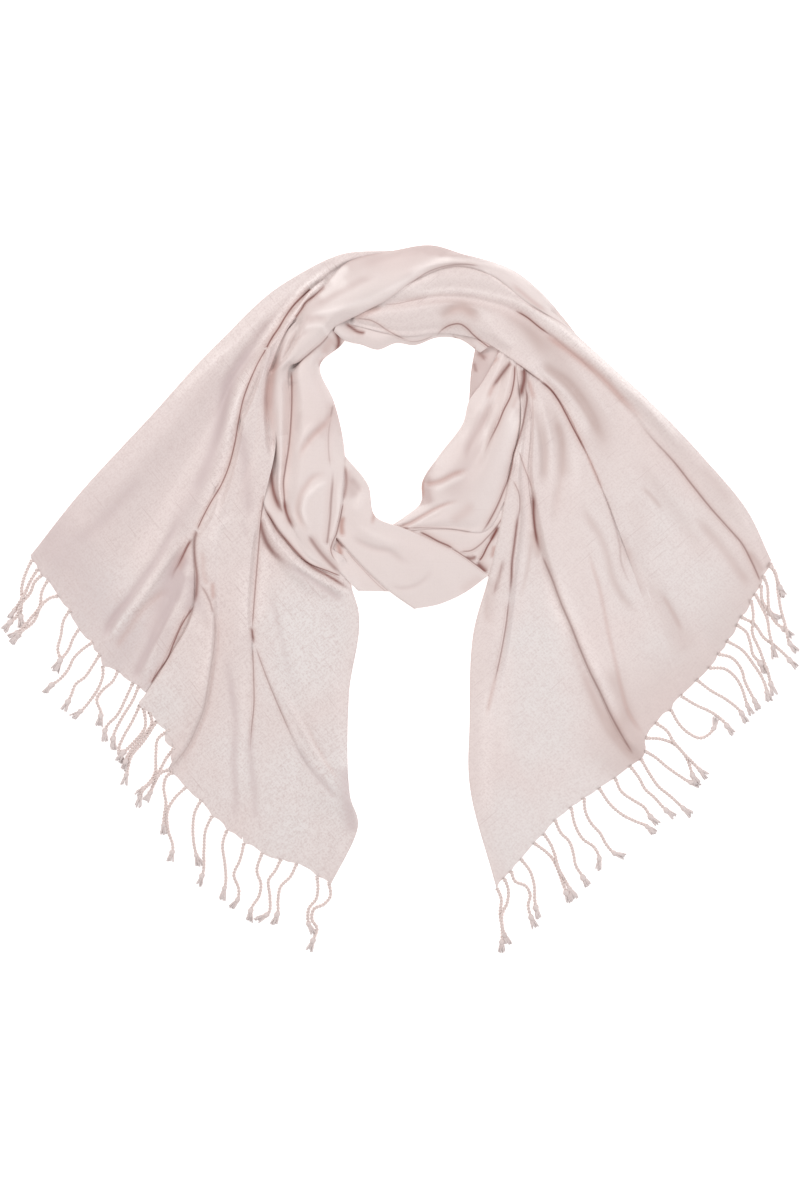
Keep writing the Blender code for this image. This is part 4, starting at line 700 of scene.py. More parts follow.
# ---- fringe --------------------------------------------------------------------------------
# The way of every cord over the board, from the hem to the end of its tuft.
CORDS = {
    "fringe_left_outer": (
        ((32, 560), (26, 573), (22, 587), (22, 601), (21, 615), (22, 627)),
        ((38, 569), (30, 582), (24, 596), (16, 608), (10, 618)),
        ((42, 575), (35, 582), (31, 592), (22, 604), (17, 616), (9, 624), (4, 631)),
        ((48, 580), (42, 592), (40, 606), (31, 618), (22, 629), (10, 638)),
        ((58, 596), (50, 598), (40, 609), (35, 620), (22, 632), (12, 643)),
        ((70, 610), (64, 620), (61, 636), (58, 649), (60, 660), (56, 672)),
        ((79, 629), (73, 639), (69, 649), (61, 660), (54, 670)),
        ((93, 642), (83, 649), (74, 658), (68, 670), (59, 680), (52, 685), (45, 693)),
        ((100, 654), (92, 667), (85, 677), (76, 684), (71, 696), (64, 710)),
        ((103, 666), (103, 676), (99, 687), (92, 698), (81, 711), (72, 717)),
        ((118, 671), (113, 681), (103, 690), (97, 700), (101, 712), (99, 726)),
        ((133, 683), (126, 698), (118, 714), (106, 728), (104, 741)),
        ((139, 686), (133, 700), (122, 718), (114, 735), (113, 749)),
    ),
    "fringe_left_middle": (
        ((140, 705), (132, 722), (124, 736), (119, 750), (124, 762)),
        ((144, 708), (145, 727), (134, 742), (122, 754), (117, 760)),
        ((150, 712), (152, 722), (140, 740), (128, 756), (124, 770)),
        ((157, 721), (143, 742), (131, 757), (127, 773), (124, 785)),
        ((170, 729), (158, 739), (156, 755), (155, 773), (137, 795)),
        ((175, 747), (167, 757), (160, 770), (154, 779), (142, 792), (138, 807)),
        ((170, 769), (161, 773), (155, 782), (150, 794), (146, 801)),
        ((173, 772), (167, 776), (164, 786), (166, 803), (164, 818), (164, 834)),
        ((186, 787), (174, 799), (168, 810), (168, 829), (173, 847), (170, 861)),
        ((201, 800), (195, 812), (193, 829), (195, 849), (200, 866)),
        ((212, 816), (206, 829), (204, 851), (203, 873), (198, 885)),
        ((227, 830), (223, 842), (225, 864), (226, 879), (222, 899)),
    ),
    "fringe_left_inner": (
        ((244, 843), (240, 860), (234, 874), (239, 890), (238, 899), (232, 908)),
        ((262, 853), (257, 871), (261, 884), (259, 896), (252, 907), (249, 922)),
        ((281, 859), (275, 871), (269, 879), (270, 897), (269, 912), (257, 921)),
        ((297, 863), (290, 877), (281, 886), (278, 901), (278, 912), (273, 924)),
        ((317, 876), (318, 888), (316, 899), (309, 908), (308, 921), (313, 934)),
        ((329, 882), (330, 897), (324, 904), (314, 909), (312, 919), (317, 928), (314, 938), (309, 950)),
    ),
    "fringe_right_inner": (
        ((497, 888), (501, 898), (500, 913), (502, 929), (501, 952)),
        ((504, 878), (508, 888), (507, 903), (502, 914), (503, 930), (508, 944)),
        ((511, 871), (515, 881), (526, 886), (530, 895), (528, 905), (531, 917), (535, 927)),
        ((521, 859), (530, 871), (534, 884), (535, 902), (538, 919)),
        ((534, 843), (544, 850), (552, 858), (558, 870), (563, 884), (570, 902)),
        ((544, 834), (550, 843), (555, 855), (558, 867), (566, 882), (575, 898)),
        ((555, 820), (561, 833), (569, 841), (573, 852), (576, 866), (581, 874), (588, 885)),
        ((571, 807), (575, 825), (583, 839), (594, 847), (599, 857), (598, 870)),
        ((584, 798), (585, 810), (591, 823), (600, 833), (606, 844), (613, 852), (624, 857)),
        ((599, 788), (610, 804), (623, 815), (635, 821), (645, 825), (655, 833)),
        ((615, 778), (621, 791), (633, 800), (644, 807), (650, 816), (658, 824)),
        ((630, 766), (639, 778), (645, 789), (654, 797), (662, 806), (674, 817)),
        ((641, 759), (649, 773), (659, 787), (669, 795), (680, 805), (691, 815)),
        ((645, 751), (655, 757), (667, 767), (680, 776), (690, 782), (700, 784)),
        ((646, 738), (661, 739), (674, 744), (684, 754), (689, 764), (692, 774), (697, 783)),
        ((656, 723), (667, 731), (673, 741), (682, 752), (694, 764), (707, 777)),
        ((671, 710), (679, 724), (690, 734), (700, 738), (709, 734), (714, 727), (716, 718)),
    ),
    "fringe_right_outer": (
        ((681, 696), (696, 705), (711, 712), (722, 720), (733, 734)),
        ((697, 680), (710, 690), (727, 700), (739, 710), (747, 722)),
        ((709, 668), (725, 669), (735, 677), (742, 689), (746, 702), (751, 715)),
        ((718, 654), (732, 658), (741, 669), (745, 682), (751, 694), (759, 709)),
        ((727, 641), (742, 650), (753, 664), (763, 680), (769, 702)),
        ((737, 625), (746, 632), (750, 643), (753, 655), (760, 663), (766, 672)),
        ((741, 617), (754, 624), (764, 638), (775, 646), (785, 655), (796, 668)),
        ((751, 600), (753, 614), (752, 632), (759, 649), (766, 668), (774, 695)),
        ((755, 594), (761, 606), (767, 619), (769, 632), (772, 645), (775, 658)),
        ((761, 585), (762, 600), (769, 612), (779, 619)),
        ((763, 576), (767, 586), (768, 601), (770, 614), (777, 624), (785, 630), (792, 637)),
        ((770, 563), (776, 577), (778, 594), (781, 611), (785, 625), (788, 640), (796, 652)),
        ((769, 566), (774, 571), (777, 581), (784, 597)),
    ),
}

# ---- looks ---------------------------------------------------------------------------------
# Colours of the cloth: where it is doubled, in one layer, painted highlight, flushed, of its
# threads, painted warm shade where light comes through it, and painted shade inside a crease.
CLOTH_COLOUR = (0.805, 0.712, 0.690, 1.0)
THIN_COLOUR = (0.818, 0.771, 0.757, 1.0)
LIT_COLOUR = (0.965, 0.880, 0.856, 1.0)
BLUSH_COLOUR = (0.815, 0.696, 0.672, 1.0)
THREAD_COLOUR = (0.640, 0.530, 0.515, 1.0)
WARM_SHADE_COLOUR = (0.500, 0.270, 0.225, 1.0)
CREASE_SHADE_COLOUR = (0.200, 0.055, 0.042, 1.0)

# Colours of the cords: of the yarn, between its fibres and at its frayed end.
CORD_COLOUR = (0.815, 0.705, 0.675, 1.0)
CORD_SHADE = (0.540, 0.420, 0.395, 1.0)
FRAY_COLOUR = (0.740, 0.670, 0.660, 1.0)

# Sheen of the cloth and the cords.
CLOTH_ROUGHNESS = (0.30, 0.25)  # least, and how much the grain adds
CLOTH_SHINE, CORD_SHINE = 0.40, 0.2
CORD_ROUGHNESS = 0.7
NAP_SHEEN = 0.12              # soft sheen of the fibres that stand up from the cloth
NAP_ROUGHNESS = 0.4
NAP_TINT = (1.0, 0.9, 0.88, 1.0)

# Patterns of the weave: repeats in a metre across the thread, along it and upwards, then detail.
THREAD = ((560.0, 60.0, 60.0), 3.0)
GRAIN = ((430.0, 430.0, 430.0), 2.0)
SLUB = ((620.0, 16.0, 60.0), 1.0)
SCROLL = ((46.0, 60.0, 60.0), 1.0, 1.6)  # and how far it swirls
CLOUD = ((11.0, 11.0, 11.0), 2.0)
FLECK = ((900.0, 900.0, 900.0), 2.0)
SCROLL_RINGS = 75.0           # how close the lines of a scroll lie

# How those patterns colour the cloth; a pair is the level from which one shows and how fast.
SCROLLED = (0.47, 6.0)
BLUSHED = (0.42, 1.6)
SLUBBED = (0.67, 6.0)
FLECKED = (0.40, 0.9)
THREAD_DEPTH = 1.3            # colour of the threads, over their middle level of 1
SCROLL_DEPTH = 0.13
THREAD_SHADE = 0.15           # colour that they have everywhere
THIN_WEAVE = 0.2              # how much more they show in one layer
THREAD_BUMP = 0.35            # strength of their relief
THREAD_RELIEF = 0.5 * MM      # and its height

# Where the cloth lies in one layer, greyer and plainer: middle of the patch on the board, half
# width and half height in squares, lean in degrees, strength.
VEILS = (
    (95, 600, 75, 45, 40, 0.75),
    (150, 690, 50, 40, 45, 0.75),
    (305, 640, 50, 75, 15, 1.0),
    (310, 800, 60, 80, 20, 1.0),
    (225, 770, 40, 60, 20, 0.8),
    (545, 700, 45, 140, -12, 1.0),
    (690, 610, 60, 70, 40, 0.8),
    (650, 540, 60, 60, 40, 0.65),
    (520, 830, 35, 60, -20, 0.9),
    (570, 790, 45, 55, 40, 0.9),
    (645, 600, 35, 50, -20, 0.5),
)

# Cords of two plies.
CORD_SEED = 7
CORD_STEP = 1.6 * MM          # distance between the rings of a ply
PLY = 1.46 * MM               # radius of one ply of a cord
PLY_FACES = 6                 # faces round it
PLY_APART = 0.8               # distance of a ply from the cord's middle, in its radii
PLY_FLAT = 0.9                # height of the twist, as a share of its width
TWIST_PITCH = 8.5 * MM        # length of one full twist
START_TURN = 6.3              # greatest turn, in radians, at which a twist starts
CORD_REST = 2.4 * MM          # height of a cord's middle over what it lies on
CORD_FLOOR = 0.2 * MM         # least height of a cord over the table
CORD_CELL = 1.0 * MM          # grid on which the cords' resting heights are compared
CORD_COVERS = 2               # cells that a cord covers beside its middle
CORD_LIFTS = 3                # rounds in which its neighbours are lifted with a lifted point
CORD_ROUNDS = 4               # rounds in which its line is smoothed
HEM_DROP = 0.3 * MM           # how far under the top of the hem a cord starts
ROOT_FALL = 14 * MM           # length over which a cord comes down from the hem
ROOT_SWELL = 0.4              # how much thicker it is at the hem
ROOT_LENGTH = 3.5 * MM        # length over which that dies away
KNOT = (4.8, 3.7, 2.5)        # half length, half width and half height of a knot, in mm
KNOT_SIZES = (0.9, 1.15)      # least and greatest size of a knot
KNOT_LUMPS = (0.16, 0.10)     # height of its lumps, along it and up it
KNOT_FLOOR = 0.3 * MM
TUFT = 10                     # yarns in the frayed end of a cord
TUFT_LENGTH = (10.5, 13.5)    # least and greatest, in mm
TUFT_SPREAD = (4.8 * MM, 2.0 * MM)  # half width and half height of its end
TUFT_ENDS = (-2.5, 1.5)       # how much shorter or longer a yarn is, in mm
YARN_FACES = 4
YARN_THICK = 0.9              # radius of a yarn where it leaves the knot, in plies
YARN_TAPER = 0.15             # how much of it is gone at its end
YARN_REST = 0.9 * MM          # least height of its middle over the table
MERGED = 1e-6                 # points nearer than this are one

# How a cord draws its hem out.
HEM_PULL = 7 * MM             # farthest that it pulls the hem
HEM_PULL_WIDTH = 6 * MM       # along the hem
HEM_PULL_DEPTH = 11 * MM      # in from the hem

WEAVES = {                    # lean of the threads in degrees, how far they show, shaded colour
    "left": (52.0, 1.2, (0.590, 0.482, 0.482, 1.0)),
    "middle": (0.0, 0.2, (0.600, 0.475, 0.455, 1.0)),
    "right": (-40.0, 0.8, (0.590, 0.465, 0.435, 1.0)),
}

# The weave of each stretch; the others have the middle one.
WEAVE_OF = {
    "tail_left_outer": "left", "tail_left_middle": "left", "tail_left_inner": "left",
    "tail_right_outer": "right", "tail_right_inner": "right",
}


# ---- from folds to a surface ---------------------------------------------------------------
def on_board(points):
    """Board squares as metres."""
    points = np.array(points, dtype=float)
    flat = (points[..., :2] - BOARD_MIDDLE) * (SQUARE, -SQUARE)
    return np.concatenate((flat, points[..., 2:] * MM), axis=-1)


def spacing(points):
    """Mean running distance along the first axis of a grid of points, seen from above."""
    steps = np.linalg.norm(np.diff(points[..., :2], axis=0), axis=-1)
    return np.concatenate(([0.0], np.cumsum(steps.mean(axis=tuple(range(1, steps.ndim))))))


def smooth_curve(knots, values, places):
    """Values read at places from a smooth curve; heights never swing past their neighbours."""
    step = np.diff(knots)
    shape = (-1,) + (1,) * (values.ndim - 1)
    rate = np.diff(values, axis=0) / step.reshape(shape)
    before, after = step[:-1].reshape(shape), step[1:].reshape(shape)
    slope = np.empty_like(values)
    slope[0], slope[-1] = rate[0], rate[-1]
    slope[1:-1] = (rate[:-1] * after + rate[1:] * before) / (before + after)
    low, high = rate[:-1, ..., 2:], rate[1:, ..., 2:]
    limit = 3 * np.minimum(abs(low), abs(high))
    level = np.clip(slope[1:-1, ..., 2:], -limit, limit)
    slope[1:-1, ..., 2:] = np.where(low * high > 0, level, 0.0)
    index = np.clip(np.searchsorted(knots, places, side="right") - 1, 0, len(step) - 1)
    width = step[index].reshape(shape)
    t = ((places - knots[index]) / step[index]).reshape(shape)
    return (
        (2 * t**3 - 3 * t**2 + 1) * values[index]
        + (t**3 - 2 * t**2 + t) * width * slope[index]
        + (3 * t**2 - 2 * t**3) * values[index + 1]
        + (t**3 - t**2) * width * slope[index + 1]
    )


def loft(folds):
    """Grid of surface points, (along, across, 3), through every fold of the table."""
    table = on_board([fold[1:] for fold in folds]).transpose(1, 0, 2)
    along = spacing(table)
    faces = max(FEWEST_FACES[0], int(along[-1] / MESH))
    rows = smooth_curve(along, table, np.linspace(0.0, along[-1], faces + 1))
    across = spacing(rows.transpose(1, 0, 2))
    faces = max(FEWEST_FACES[1], int(across[-1] / MESH * CLOSER))
    columns = smooth_curve(across, rows.transpose(1, 0, 2), np.linspace(0.0, across[-1], faces + 1))
    return columns.transpose(1, 0, 2)


def smooth_way(points, step):
    """Evenly spaced points, a step apart, along a smooth line through the given ones."""
    knots = spacing(points[:, None, :])
    count = max(FEWEST_PARTS, int(knots[-1] / step))
    line = smooth_curve(knots, points, np.linspace(0.0, knots[-1], FINER * count))
    length = spacing(line[:, None, :])
    even = np.linspace(0.0, length[-1], count + 1)
    return np.stack([np.interp(even, length, line[:, k]) for k in range(line.shape[1])], 1)


def soften(field, rounds):
    """A field averaged over its neighbours, a few times over."""
    for _ in range(rounds):
        for axis in (0, 1):
            field = np.moveaxis(field, axis, 0)
            padded = np.concatenate((field[:1], field, field[-1:]))
            field = np.moveaxis((padded[:-2] + 2 * padded[1:-1] + padded[2:]) / 4, 0, axis)
    return field


def widen(field, reach):
    """A field raised to the highest of its neighbours."""
    for _ in range(reach):
        for axis in (0, 1):
            field = np.moveaxis(field, axis, 0)
            padded = np.concatenate((field[:1], field, field[-1:]))
            highest = np.maximum(np.maximum(padded[:-2], padded[1:-1]), padded[2:])
            field = np.moveaxis(highest, 0, axis)
    return field


# ---- creases -------------------------------------------------------------------------------
def beside(points, way):
    """Each point's distance past a line on its left, its place along it, and off its ends."""
    run = np.gradient(way, axis=0)
    run /= np.linalg.norm(run, axis=1)[:, None]
    gap = points[:, None, :] - way[None, :, :]
    nearest = (gap**2).sum(axis=2).argmin(axis=1)
    rows = np.arange(len(points))
    gap, run = gap[rows, nearest], run[nearest]
    left = run[:, 0] * gap[:, 1] - run[:, 1] * gap[:, 0]
    forward = (run * gap).sum(axis=1)
    off = np.where((nearest == 0) | (nearest == len(way) - 1), abs(forward), 0.0)
    return left, nearest / (len(way) - 1), off


def creased(letter, grid):
    """Heights that a stretch's creases add to it, and the painted light and shade they leave on it.

    The signed tone is painted shade above 0 in a hollow and a painted highlight below 0 on a
    ridge; warm is painted warm shade of light that has come through the cloth; dark is painted
    shade inside a gap; edge is the distance past the nearest thin line, in half widths, and the
    line's painted shade is its strength.
    """
    flat = grid[..., :2].reshape(-1, 2)
    rise, tone, warm, dark, ink = (np.zeros(len(flat)) for _ in range(5))
    edge, gap = np.full((2, len(flat)), NO_LINE)
    for letters, kind, width, height, strength, start, end, way in CREASES:
        if letter not in letters:
            continue
        line = smooth_way(on_board(way), CREASE_STEP)[:, :2]
        reach = max(CREASE_REACH * width * SQUARE, LEAST_REACH)
        low, high = line.min(axis=0) - reach, line.max(axis=0) + reach
        near = np.flatnonzero(((flat > low) & (flat < high)).all(axis=1))
        left, share, off = beside(flat[near], line)
        fade = np.clip(share / start, 0, 1) * np.clip((1 - share) / end, 0, 1)
        fade = fade * fade * (3 - 2 * fade)
        side = left / (width * SQUARE)
        past = off / (width * SQUARE)
        away = np.hypot(side, past)
        soft = np.exp(-SOFT_RATE * away**2)
        if kind in ("dent", "swell", "warm"):
            rise[near] += height * MM * fade * soft
            if kind == "warm":
                warm[near] = np.maximum(warm[near], strength * fade * soft)
            else:
                tone[near] += (1 if kind == "dent" else -1) * strength * fade * soft
            continue
        if kind == "gap":
            rise[near] += GAP_DEPTH * height * MM * fade * np.exp(-(away / GAP_SHARE)**4)
            inside = GAP_SHADE_DEPTH * strength * fade * np.exp(-GAP_RATE * away**2)
            around = HALO * strength * fade * np.exp(-(away / GAP_WARMTH)**2)
            dark[near] = np.maximum(dark[near], inside)
            warm[near] = np.maximum(warm[near], around)
            continue
        if kind == "cleft":
            rise[near] += CLEFT_DEPTH * height * MM * fade * np.exp(-CLEFT_RATE * away)
        elif kind != "line":
            side = (side if kind == "lap_left" else -side) - LAP_INSET
            over = np.exp(-np.clip(side, 0, None)**2 * LAP_RATE)
            under = np.exp(-(np.clip(-side, 0, None) / LAP_LIP)**2)
            fade = fade * np.exp(-past**2)
            rise[near] += height * MM * fade * np.where(side > 0, over, under)
            left = (side + LAP_INSET) * width * SQUARE
            width = LAP_LINE * width
        around = HALO * strength * fade * np.exp(-(side / LINE_WARMTH)**2)
        warm[near] = np.maximum(warm[near], around)
        mark = LINE_SHADE_DEPTH * strength * fade * np.clip((LINE_END - abs(left)) / LINE_FADE, 0, 1)
        nearer = (abs(left) < gap[near]) & (mark > 0)
        gap[near[nearer]] = abs(left)[nearer]
        ink[near[nearer]] = mark[nearer]
        edge[near[nearer]] = (left / (LINE_WIDTH * width * SQUARE))[nearer]
    marks = {"tone": np.clip(tone, -1, 1), "warm": warm, "dark": dark, "ink": ink, "edge": edge}
    return rise.reshape(grid.shape[:2]), {
        key: field.reshape(grid.shape[:2]) for key, field in marks.items()}


def rippled(grid, seed):
    """Slight unevenness along the cloth's run, as soft cloth has."""
    chance = np.random.default_rng(seed)
    along = spacing(grid)[:, None]
    across = spacing(grid.transpose(1, 0, 2))[None, :]
    field = np.zeros(grid.shape[:2])
    for _ in range(RIPPLES):
        wide, long = chance.uniform(*RIPPLE_WIDTH), chance.uniform(*RIPPLE_LENGTH)
        turn, lean = chance.uniform(0, 2 * math.pi), chance.uniform(-1.0, 1.0)
        strength = chance.uniform(0.4, 1.0) * wide / RIPPLE_WIDTH[1]
        field += strength * np.sin(2 * math.pi * (across / wide + lean * along / long) + turn)
    return field * RIPPLE_HEIGHT * MM


# ---- laying one stretch on another ---------------------------------------------------------
class Table:
    """The heights reached so far over the table top."""

    def __init__(self):
        self.count = int(2 * TABLE_HALF / CELL)
        self.corner = -TABLE_HALF
        self.height = np.zeros((self.count, self.count))

    def cells(self, points):
        """The cells that points lie over."""
        place = ((points[..., :2] - self.corner) / CELL).astype(int)
        return np.clip(place, 1, self.count - 2)

    def add(self, grid):
        """Raise the table's heights to a surface, and to one cell round it."""
        a, b, c, d = grid[:-1, :-1], grid[1:, :-1], grid[:-1, 1:], grid[1:, 1:]
        fresh = np.zeros_like(self.height)
        quarters = (0.0, 0.25, 0.5, 0.75, 1.0)
        for u in quarters:
            for v in quarters:
                spot = (1 - u) * (1 - v) * a + u * (1 - v) * b + (1 - u) * v * c + u * v * d
                cell = self.cells(spot)
                np.maximum.at(fresh, (cell[..., 0], cell[..., 1]), spot[..., 2])
        self.height = np.maximum(self.height, widen(fresh, 1))

    def settle(self, grid):
        """Lift a stretch, where it must be lifted, until it rests on what lies below."""
        cell = self.cells(grid)
        below = self.height[cell[..., 0], cell[..., 1]]
        lack = np.where(below > 0, below + REST - grid[..., 2], 0.0).clip(0.0, None)
        grid[..., 2] += np.maximum(soften(widen(lack, LIFT_REACH), LIFT_ROUNDS), lack)
        return grid


def in_patch(points, across, down, wide, tall, lean):
    """1 inside a soft-edged oval on the board, 0 outside."""
    board = points[..., :2] / (SQUARE, -SQUARE) + BOARD_MIDDLE
    turn = math.radians(lean)
    x = (board[..., 0] - across) * math.cos(turn) + (board[..., 1] - down) * math.sin(turn)
    y = (board[..., 1] - down) * math.cos(turn) - (board[..., 0] - across) * math.sin(turn)
    return np.exp(-((x / wide)**2 + (y / tall)**2)**2)


def melted(name, grid, below):
    """Lay the melting edges of a stretch on the cloth under them; also how far each is melted."""
    share = np.zeros(grid.shape[:2])
    for stretch, *patch in MELTS:
        if stretch == name:
            share = np.maximum(share, in_patch(grid, *patch))
    share = np.clip(share * MELT_GAIN - MELT_LOSS, 0, 1)
    for i, j in np.argwhere(share > MELT_LEAST):
        x, y, _ = grid[i, j]
        heights = [hit[0].z for hit in (
            tree.ray_cast((x, y, RAY_HEIGHT), DOWN) for tree in below) if hit[0]]
        level = max(heights, default=CLOTH) + MELTED_REST
        grid[i, j, 2] += share[i, j] * (level - grid[i, j, 2])
    return grid, share


def rolled(grid, sides):
    """Depth by which each point is turned down at the folded edges."""
    gap = np.linalg.norm(np.diff(grid[..., :2], axis=1), axis=-1)
    run = np.concatenate((np.zeros((len(grid), 1)), np.cumsum(gap, axis=1)), axis=1)
    depth = np.zeros(grid.shape[:2])
    for first in (True, False):
        if sides == "none" or (sides == "first" and not first):
            continue
        near = np.clip((run if first else run[:, -1:] - run) / ROLL, 0, 1)
        depth = np.maximum(depth, 1 - np.sqrt(1 - (1 - near)**2))
    return depth


# ---- from a grid to a piece ----------------------------------------------------------------
def grid_mesh(name, grid, values):
    """One open sheet through a grid of points, with named values at each point."""
    along, across = grid.shape[:2]
    shape = bmesh.new()
    bmesh.ops.create_grid(shape, x_segments=across - 1, y_segments=along - 1, size=1.0)
    shape.verts.ensure_lookup_table()
    place = np.array([vert.co[:2] for vert in shape.verts])
    j = np.rint((place[:, 0] + 1) / 2 * (across - 1)).astype(int)
    i = np.rint((place[:, 1] + 1) / 2 * (along - 1)).astype(int)
    data = bpy.data.meshes.new(name)
    for vert, point in zip(shape.verts, grid[i, j]):
        vert.co = point
    bmesh.ops.recalc_face_normals(shape, faces=shape.faces)
    shape.faces.ensure_lookup_table()
    if sum(face.normal.z for face in shape.faces) < 0:
        bmesh.ops.reverse_faces(shape, faces=shape.faces)
    for edge in shape.edges:
        edge.smooth = not edge.is_boundary
    shape.to_mesh(data)
    shape.free()
    for key, field in values.items():
        layer = data.attributes.new(key, "FLOAT", "POINT")
        layer.data.foreach_set("value", field[i, j].astype(np.float32))
    data.shade_smooth()
    return data


def placed(name, data, material, nodes):
    """A finished piece from its mesh, standing for the named solids."""
    data.materials.append(material)
    item = bpy.data.objects.new(name, data)
    bpy.context.scene.collection.objects.link(item)
    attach(item, "root")
    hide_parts(*nodes)
    return item


def shown_through(points, patches):
    """A value at each point from soft patches, each with a strength."""
    field = np.zeros(points.shape[:2])
    for *patch, strength in patches:
        field = np.maximum(field, strength * in_patch(points, *patch))
    return field


# ---- shader maths --------------------------------------------------------------------------
class Wire:
    """One socket of a shader, used in sums like a number."""

    def __init__(self, tree, socket):
        self.tree = tree
        self.socket = socket

    def worked(self, operation, first, second=0.0):
        return self.tree.node("ShaderNodeMath", {"operation": operation}, {0: first, 1: second})

    def __add__(self, other):
        return self.worked("ADD", self, other)

    def __sub__(self, other):
        return self.worked("SUBTRACT", self, other)

    def __rsub__(self, other):
        return self.worked("SUBTRACT", other, self)

    def __mul__(self, other):
        return self.worked("MULTIPLY", self, other)

    def within(self):
        """The value, kept between 0 and 1."""
        return self.tree.node("ShaderNodeClamp", {}, {0: self})

    def above(self, level, rate):
        """0 up to a level, and from there up to 1 at a rate."""
        return ((self - level) * rate).within()

    def sine(self):
        return self.worked("SINE", self)

    def exponent(self):
        return self.worked("EXPONENT", self)

    __radd__ = __add__
    __rmul__ = __mul__


class Finish:
    """A material and the nodes that are added to it."""

    def __init__(self, name):
        self.material = bpy.data.materials.new(name)
        self.material.use_nodes = True
        self.nodes = self.material.node_tree.nodes
        self.shader = self.nodes["Principled BSDF"]

    def node(self, kind, settings, inputs, output=0):
        """Any node, from its type, its settings, and the values or links of its sockets."""
        item = self.nodes.new(kind)
        for key, value in settings.items():
            setattr(item, key, value)
        for key, value in inputs.items():
            self.feed(item.inputs[key], value)
        return Wire(self, item.outputs[output])

    def feed(self, socket, value):
        if isinstance(value, Wire):
            self.material.node_tree.links.new(value.socket, socket)
        else:
            socket.default_value = value

    def mixed(self, share, first, second):
        return self.node("ShaderNodeMix", {"data_type": "RGBA"}, {0: share, 6: first, 7: second}, 2)

    def value(self, name):
        """What the mesh holds under a name at each point."""
        return self.node("ShaderNodeAttribute", {"attribute_name": name}, {}, "Fac")

    def streaks(self, degrees, scale, detail, swirl=0.0):
        """Noise drawn out along one direction of the object's own axes."""
        place = self.node("ShaderNodeTexCoord", {}, {}, "Object")
        turned = self.node("ShaderNodeVectorRotate", {"rotation_type": "Z_AXIS"},
                           {"Vector": place, "Angle": math.radians(degrees)})
        drawn = self.node("ShaderNodeVectorMath", {"operation": "MULTIPLY"}, {0: turned, 1: scale})
        return self.node("ShaderNodeTexNoise", {}, {"Vector": drawn, "Scale": 1.0,
                                                    "Detail": detail, "Distortion": swirl})


def cloth_finish(name, degrees, weave, shade):
    """Soft satin weave: slubs along both threads, woven scrolls, painted shade and highlights on creases.
    """
    finish = Finish(name)
    weft = finish.streaks(degrees, *THREAD)
    warp = finish.streaks(degrees + 90.0, *THREAD)
    grain = finish.streaks(degrees + 45.0, *GRAIN)
    slub = finish.streaks(degrees + 90.0, *SLUB)
    scroll = finish.streaks(degrees, *SCROLL)
    cloud = finish.streaks(0.0, *CLOUD)
    thin = finish.value("thin")
    tone = finish.value("tone")
    edge = finish.value("edge")
    thread = (weft + warp) * 0.5 + grain
    curl = (scroll * SCROLL_RINGS).sine() * cloud.above(*SCROLLED)
    pale = finish.mixed(thin, CLOTH_COLOUR, THIN_COLOUR)
    # Painted shade in the hollows and painted highlight on the ridges of the creases.
    colour = finish.mixed(tone.within(), pale, shade)
    colour = finish.mixed((tone * -1.0).within(), colour, LIT_COLOUR)
    colour = finish.mixed(cloud.above(*BLUSHED), colour, BLUSH_COLOUR)
    deep = (thread - 1.0) * THREAD_DEPTH + curl * SCROLL_DEPTH + THREAD_SHADE
    deep = deep * (thin * THIN_WEAVE + weave)
    colour = finish.mixed(deep.within(), colour, THREAD_COLOUR)
    colour = finish.mixed(slub.above(*SLUBBED) * weave, colour, THREAD_COLOUR)
    # Painted warm shade where light comes through the cloth, and painted shade inside the gaps.
    colour = finish.mixed(finish.value("warm"), colour, WARM_SHADE_COLOUR)
    colour = finish.mixed(finish.value("dark"), colour, CREASE_SHADE_COLOUR)
    # Painted shade of the thin dark lines along the creases.
    line = (edge * edge * -1.0).exponent()
    colour = finish.mixed((line * finish.value("ink")).within(), colour, CREASE_SHADE_COLOUR)
    finish.feed(finish.shader.inputs["Base Color"], colour)
    least, grained = CLOTH_ROUGHNESS
    finish.feed(finish.shader.inputs["Roughness"], (grain * grained + least).within())
    bump = finish.node("ShaderNodeBump", {}, {
        "Strength": THREAD_BUMP * weave, "Distance": THREAD_RELIEF, "Height": thread})
    finish.feed(finish.shader.inputs["Normal"], bump)
    finish.shader.inputs["Specular IOR Level"].default_value = CLOTH_SHINE
    finish.shader.inputs["Sheen Weight"].default_value = NAP_SHEEN
    finish.shader.inputs["Sheen Roughness"].default_value = NAP_ROUGHNESS
    finish.shader.inputs["Sheen Tint"].default_value = NAP_TINT
    return finish.material


def cord_finish():
    """Twisted yarn, greyer at its frayed end."""
    finish = Finish("twisted_yarn")
    fleck = finish.streaks(0.0, *FLECK)
    colour = finish.mixed(finish.value("frayed"), CORD_COLOUR, FRAY_COLOUR)
    colour = finish.mixed(fleck.above(*FLECKED), colour, CORD_SHADE)
    finish.feed(finish.shader.inputs["Base Color"], colour)
    finish.shader.inputs["Roughness"].default_value = CORD_ROUGHNESS
    finish.shader.inputs["Specular IOR Level"].default_value = CORD_SHINE
    return finish.material


